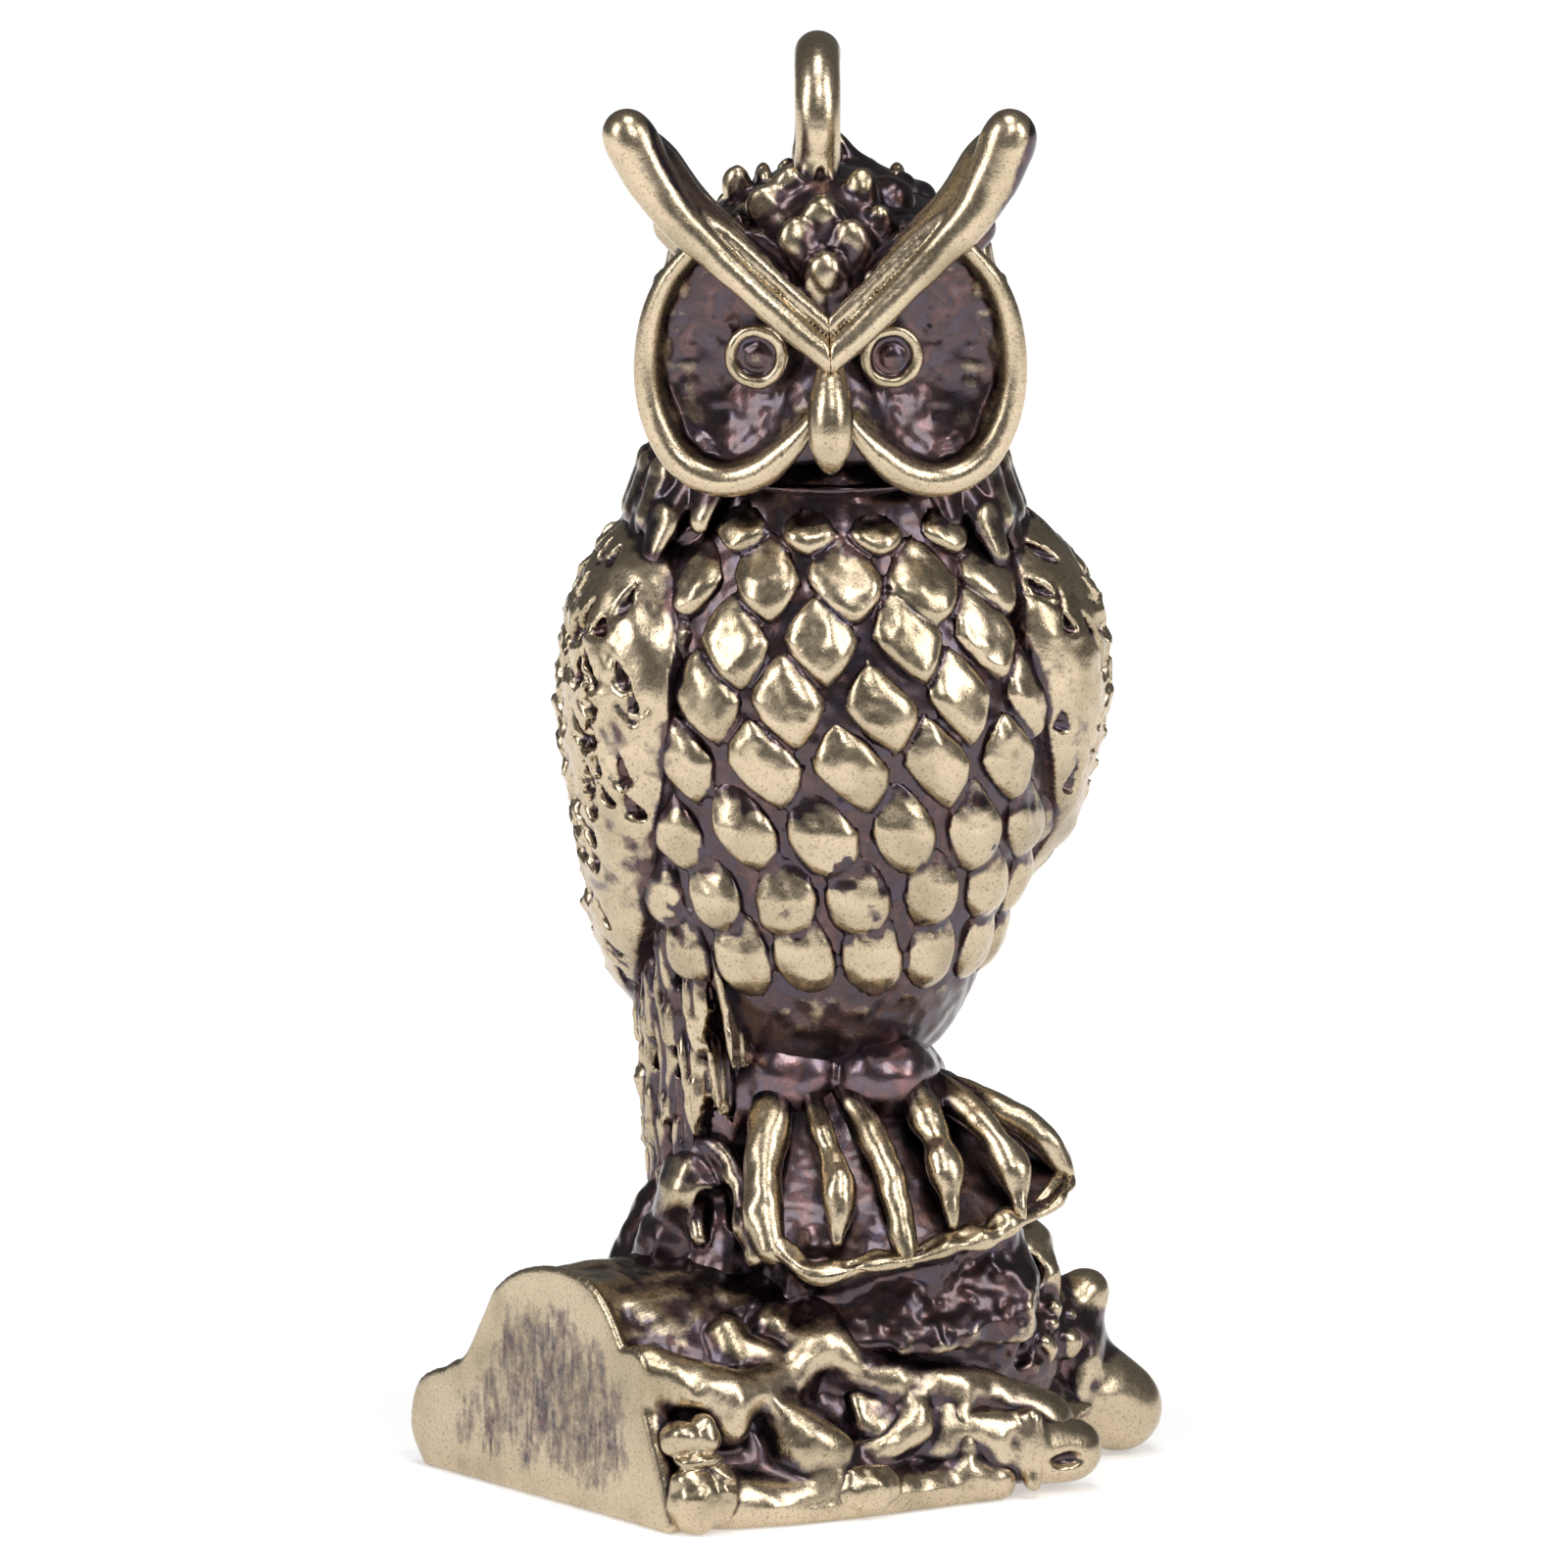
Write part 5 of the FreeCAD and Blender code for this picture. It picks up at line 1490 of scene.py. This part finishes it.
WHOLE_STEP = 0.125  # voxel size in mm of the grid that holds all the brass
MATERIALS = {
    # by piece, or else by slot
    "polished_brass": antique_brass("polished_brass", worn=0.04),
    "antique_brass": antique_brass("antique_brass"),
    "oxidised_brass": antique_brass("oxidised_brass"),
    "log": antique_brass("sawn_brass", scratched=True),
    # The legs' patina is lightened twofold as painted light, making up for the shade they sit in under the
    # body.
    "legs": antique_brass("leg_patina_painted_light", glow=2.0),
}


def sculpt():
    """All clays, each with its slot."""
    clays = []
    for maker, slot in MAKERS:
        made = maker()
        for clay in made if isinstance(made, tuple) else (made,):
            clay.slot = slot
            clays.append(clay)
    return clays


def add_clay(clay, points, quads, levels):
    """Adds a clay's mesh as one piece, or as a left and a right one."""
    slant = np.outer(np.maximum(points[:, 2] - LEAN_FROM, 0) * clay.lean, [-1, 0, 0])
    # The per-piece darkening holds real stains, plus painted shade and light in the face's bowls and painted
    # shade on the owl's left eye.
    stain_and_shade = clay.tarnish + (clay.stain_and_shade(*points.T) if clay.stain_and_shade else 0)
    material = MATERIALS.get(clay.name, MATERIALS[clay.slot])
    for side, flip in (("left_", 1), ("right_", -1)) if clay.mirror else (("", 1),):
        row = to_row(points * [flip, 1, 1] + slant, clay.space)
        replaced = [node for node in clay.replaces if node.startswith(side)]
        value = rubbed(row, levels) - stain_and_shade
        add_piece(f"{side}{clay.name}_brass", row, quads[:, ::flip], value, material, replaced)


clays = sculpt()
skins = [clay.skin() for clay in clays]
levels = heights(whole_field(clays, WHOLE_STEP))
for clay, (points, quads) in zip(clays, skins):
    add_clay(clay, points, quads, levels)

# ---- floor, light and camera ----


AZIMUTH, ELEVATION = math.radians(-HEAD_TURN), math.radians(9.3)  # where the camera looks from
IMAGE_WIDTH, IMAGE_PER_MM = 1600, 35.0
VIEW_WIDTH = IMAGE_WIDTH / IMAGE_PER_MM * MM  # what the frame spans at the owl
DISTANCE, SENSOR = 0.60, 36
AIM = Vector((-1.10, 0.77, 20.25)) * MM
WHITE = (1, 1, 1, 1)


def make_floor():
    """Pale paper that glows more further out, so that it meets the white room."""
    bpy.ops.mesh.primitive_circle_add(vertices=96, radius=3.0, fill_type="NGON", location=(0, 0, -0.00001))
    floor = bpy.context.object
    floor.name = "studio_floor"
    paper = bpy.data.materials.new("floor_paper")
    graph = Graph(paper)
    reach = graph.add("VectorMath", {0: graph.place}, operation="LENGTH").outputs["Value"]
    fade = {"Value": reach, "From Min": 0.03, "From Max": 0.16, "To Min": 0.42, "To Max": 0.85}
    glow = graph.add("MapRange", fade).outputs["Result"]
    graph.put(graph.shader, {"Base Color": (0.9, 0.9, 0.9, 1), "Roughness": 0.9})
    graph.put(graph.shader, {"Emission Color": WHITE, "Emission Strength": glow})
    floor.data.materials.append(paper)
    return floor


def make_room():
    """White behind the owl, and much dimmer in what the brass reflects."""
    world = bpy.data.worlds.new("studio")
    bpy.context.scene.world = world
    world.use_nodes = True
    tree = world.node_tree
    backdrop, dim_room = tree.nodes["Background"], tree.nodes.new("ShaderNodeBackground")
    for background, strength in ((backdrop, 1.0), (dim_room, 0.13)):
        background.inputs["Color"].default_value = WHITE
        background.inputs["Strength"].default_value = strength
    seen, either = tree.nodes.new("ShaderNodeLightPath"), tree.nodes.new("ShaderNodeMixShader")
    tree.links.new(seen.outputs["Is Camera Ray"], either.inputs["Fac"])
    tree.links.new(dim_room.outputs[0], either.inputs[1])
    tree.links.new(backdrop.outputs[0], either.inputs[2])
    tree.links.new(either.outputs[0], tree.nodes["World Output"].inputs["Surface"])


def direction(azimuth, elevation):
    """Unit vector towards a bearing and a height above the horizon, in radians."""
    level = math.cos(elevation)
    return Vector((math.sin(azimuth) * level, -math.cos(azimuth) * level, math.sin(elevation)))


def place(name, data, target, back, distance):
    """Adds a lamp or camera that looks at target from a distance along back."""
    thing = bpy.data.objects.new(name, data)
    thing.location = target + back * distance
    thing.rotation_euler = back.to_track_quat("Z", "Y").to_euler()
    bpy.context.collection.objects.link(thing)
    return thing


def softbox(name, azimuth, elevation, distance, size, power, size_y=None):
    """Area light at a bearing from the camera's own, aimed at the owl's middle."""
    lamp = bpy.data.lights.new(name, "AREA")
    lamp.shape, lamp.size, lamp.size_y = "RECTANGLE", size, size_y or size
    lamp.energy = power
    back = direction(AZIMUTH + math.radians(azimuth), math.radians(elevation))
    place(name, lamp, Vector((0, 0, 0.02)), back, distance)


def make_camera():
    lens = bpy.data.cameras.new("camera")
    lens.sensor_width = SENSOR
    lens.lens = SENSOR * DISTANCE / VIEW_WIDTH
    lens.clip_start, lens.clip_end = 0.01, 10
    return place("camera", lens, AIM, direction(AZIMUTH, ELEVATION), DISTANCE)


floor = make_floor()
make_room()
softbox("key_left", -62, 30, 0.35, 0.11, 0.48, 0.24)
softbox("key_right", 58, 32, 0.35, 0.10, 0.46, 0.24)
softbox("top", 10, 78, 0.40, 0.15, 0.45)
softbox("front_high", 12, 46, 0.45, 0.09, 0.34)
bpy.context.scene.camera = make_camera()
bpy.context.scene.view_settings.view_transform = "Standard"
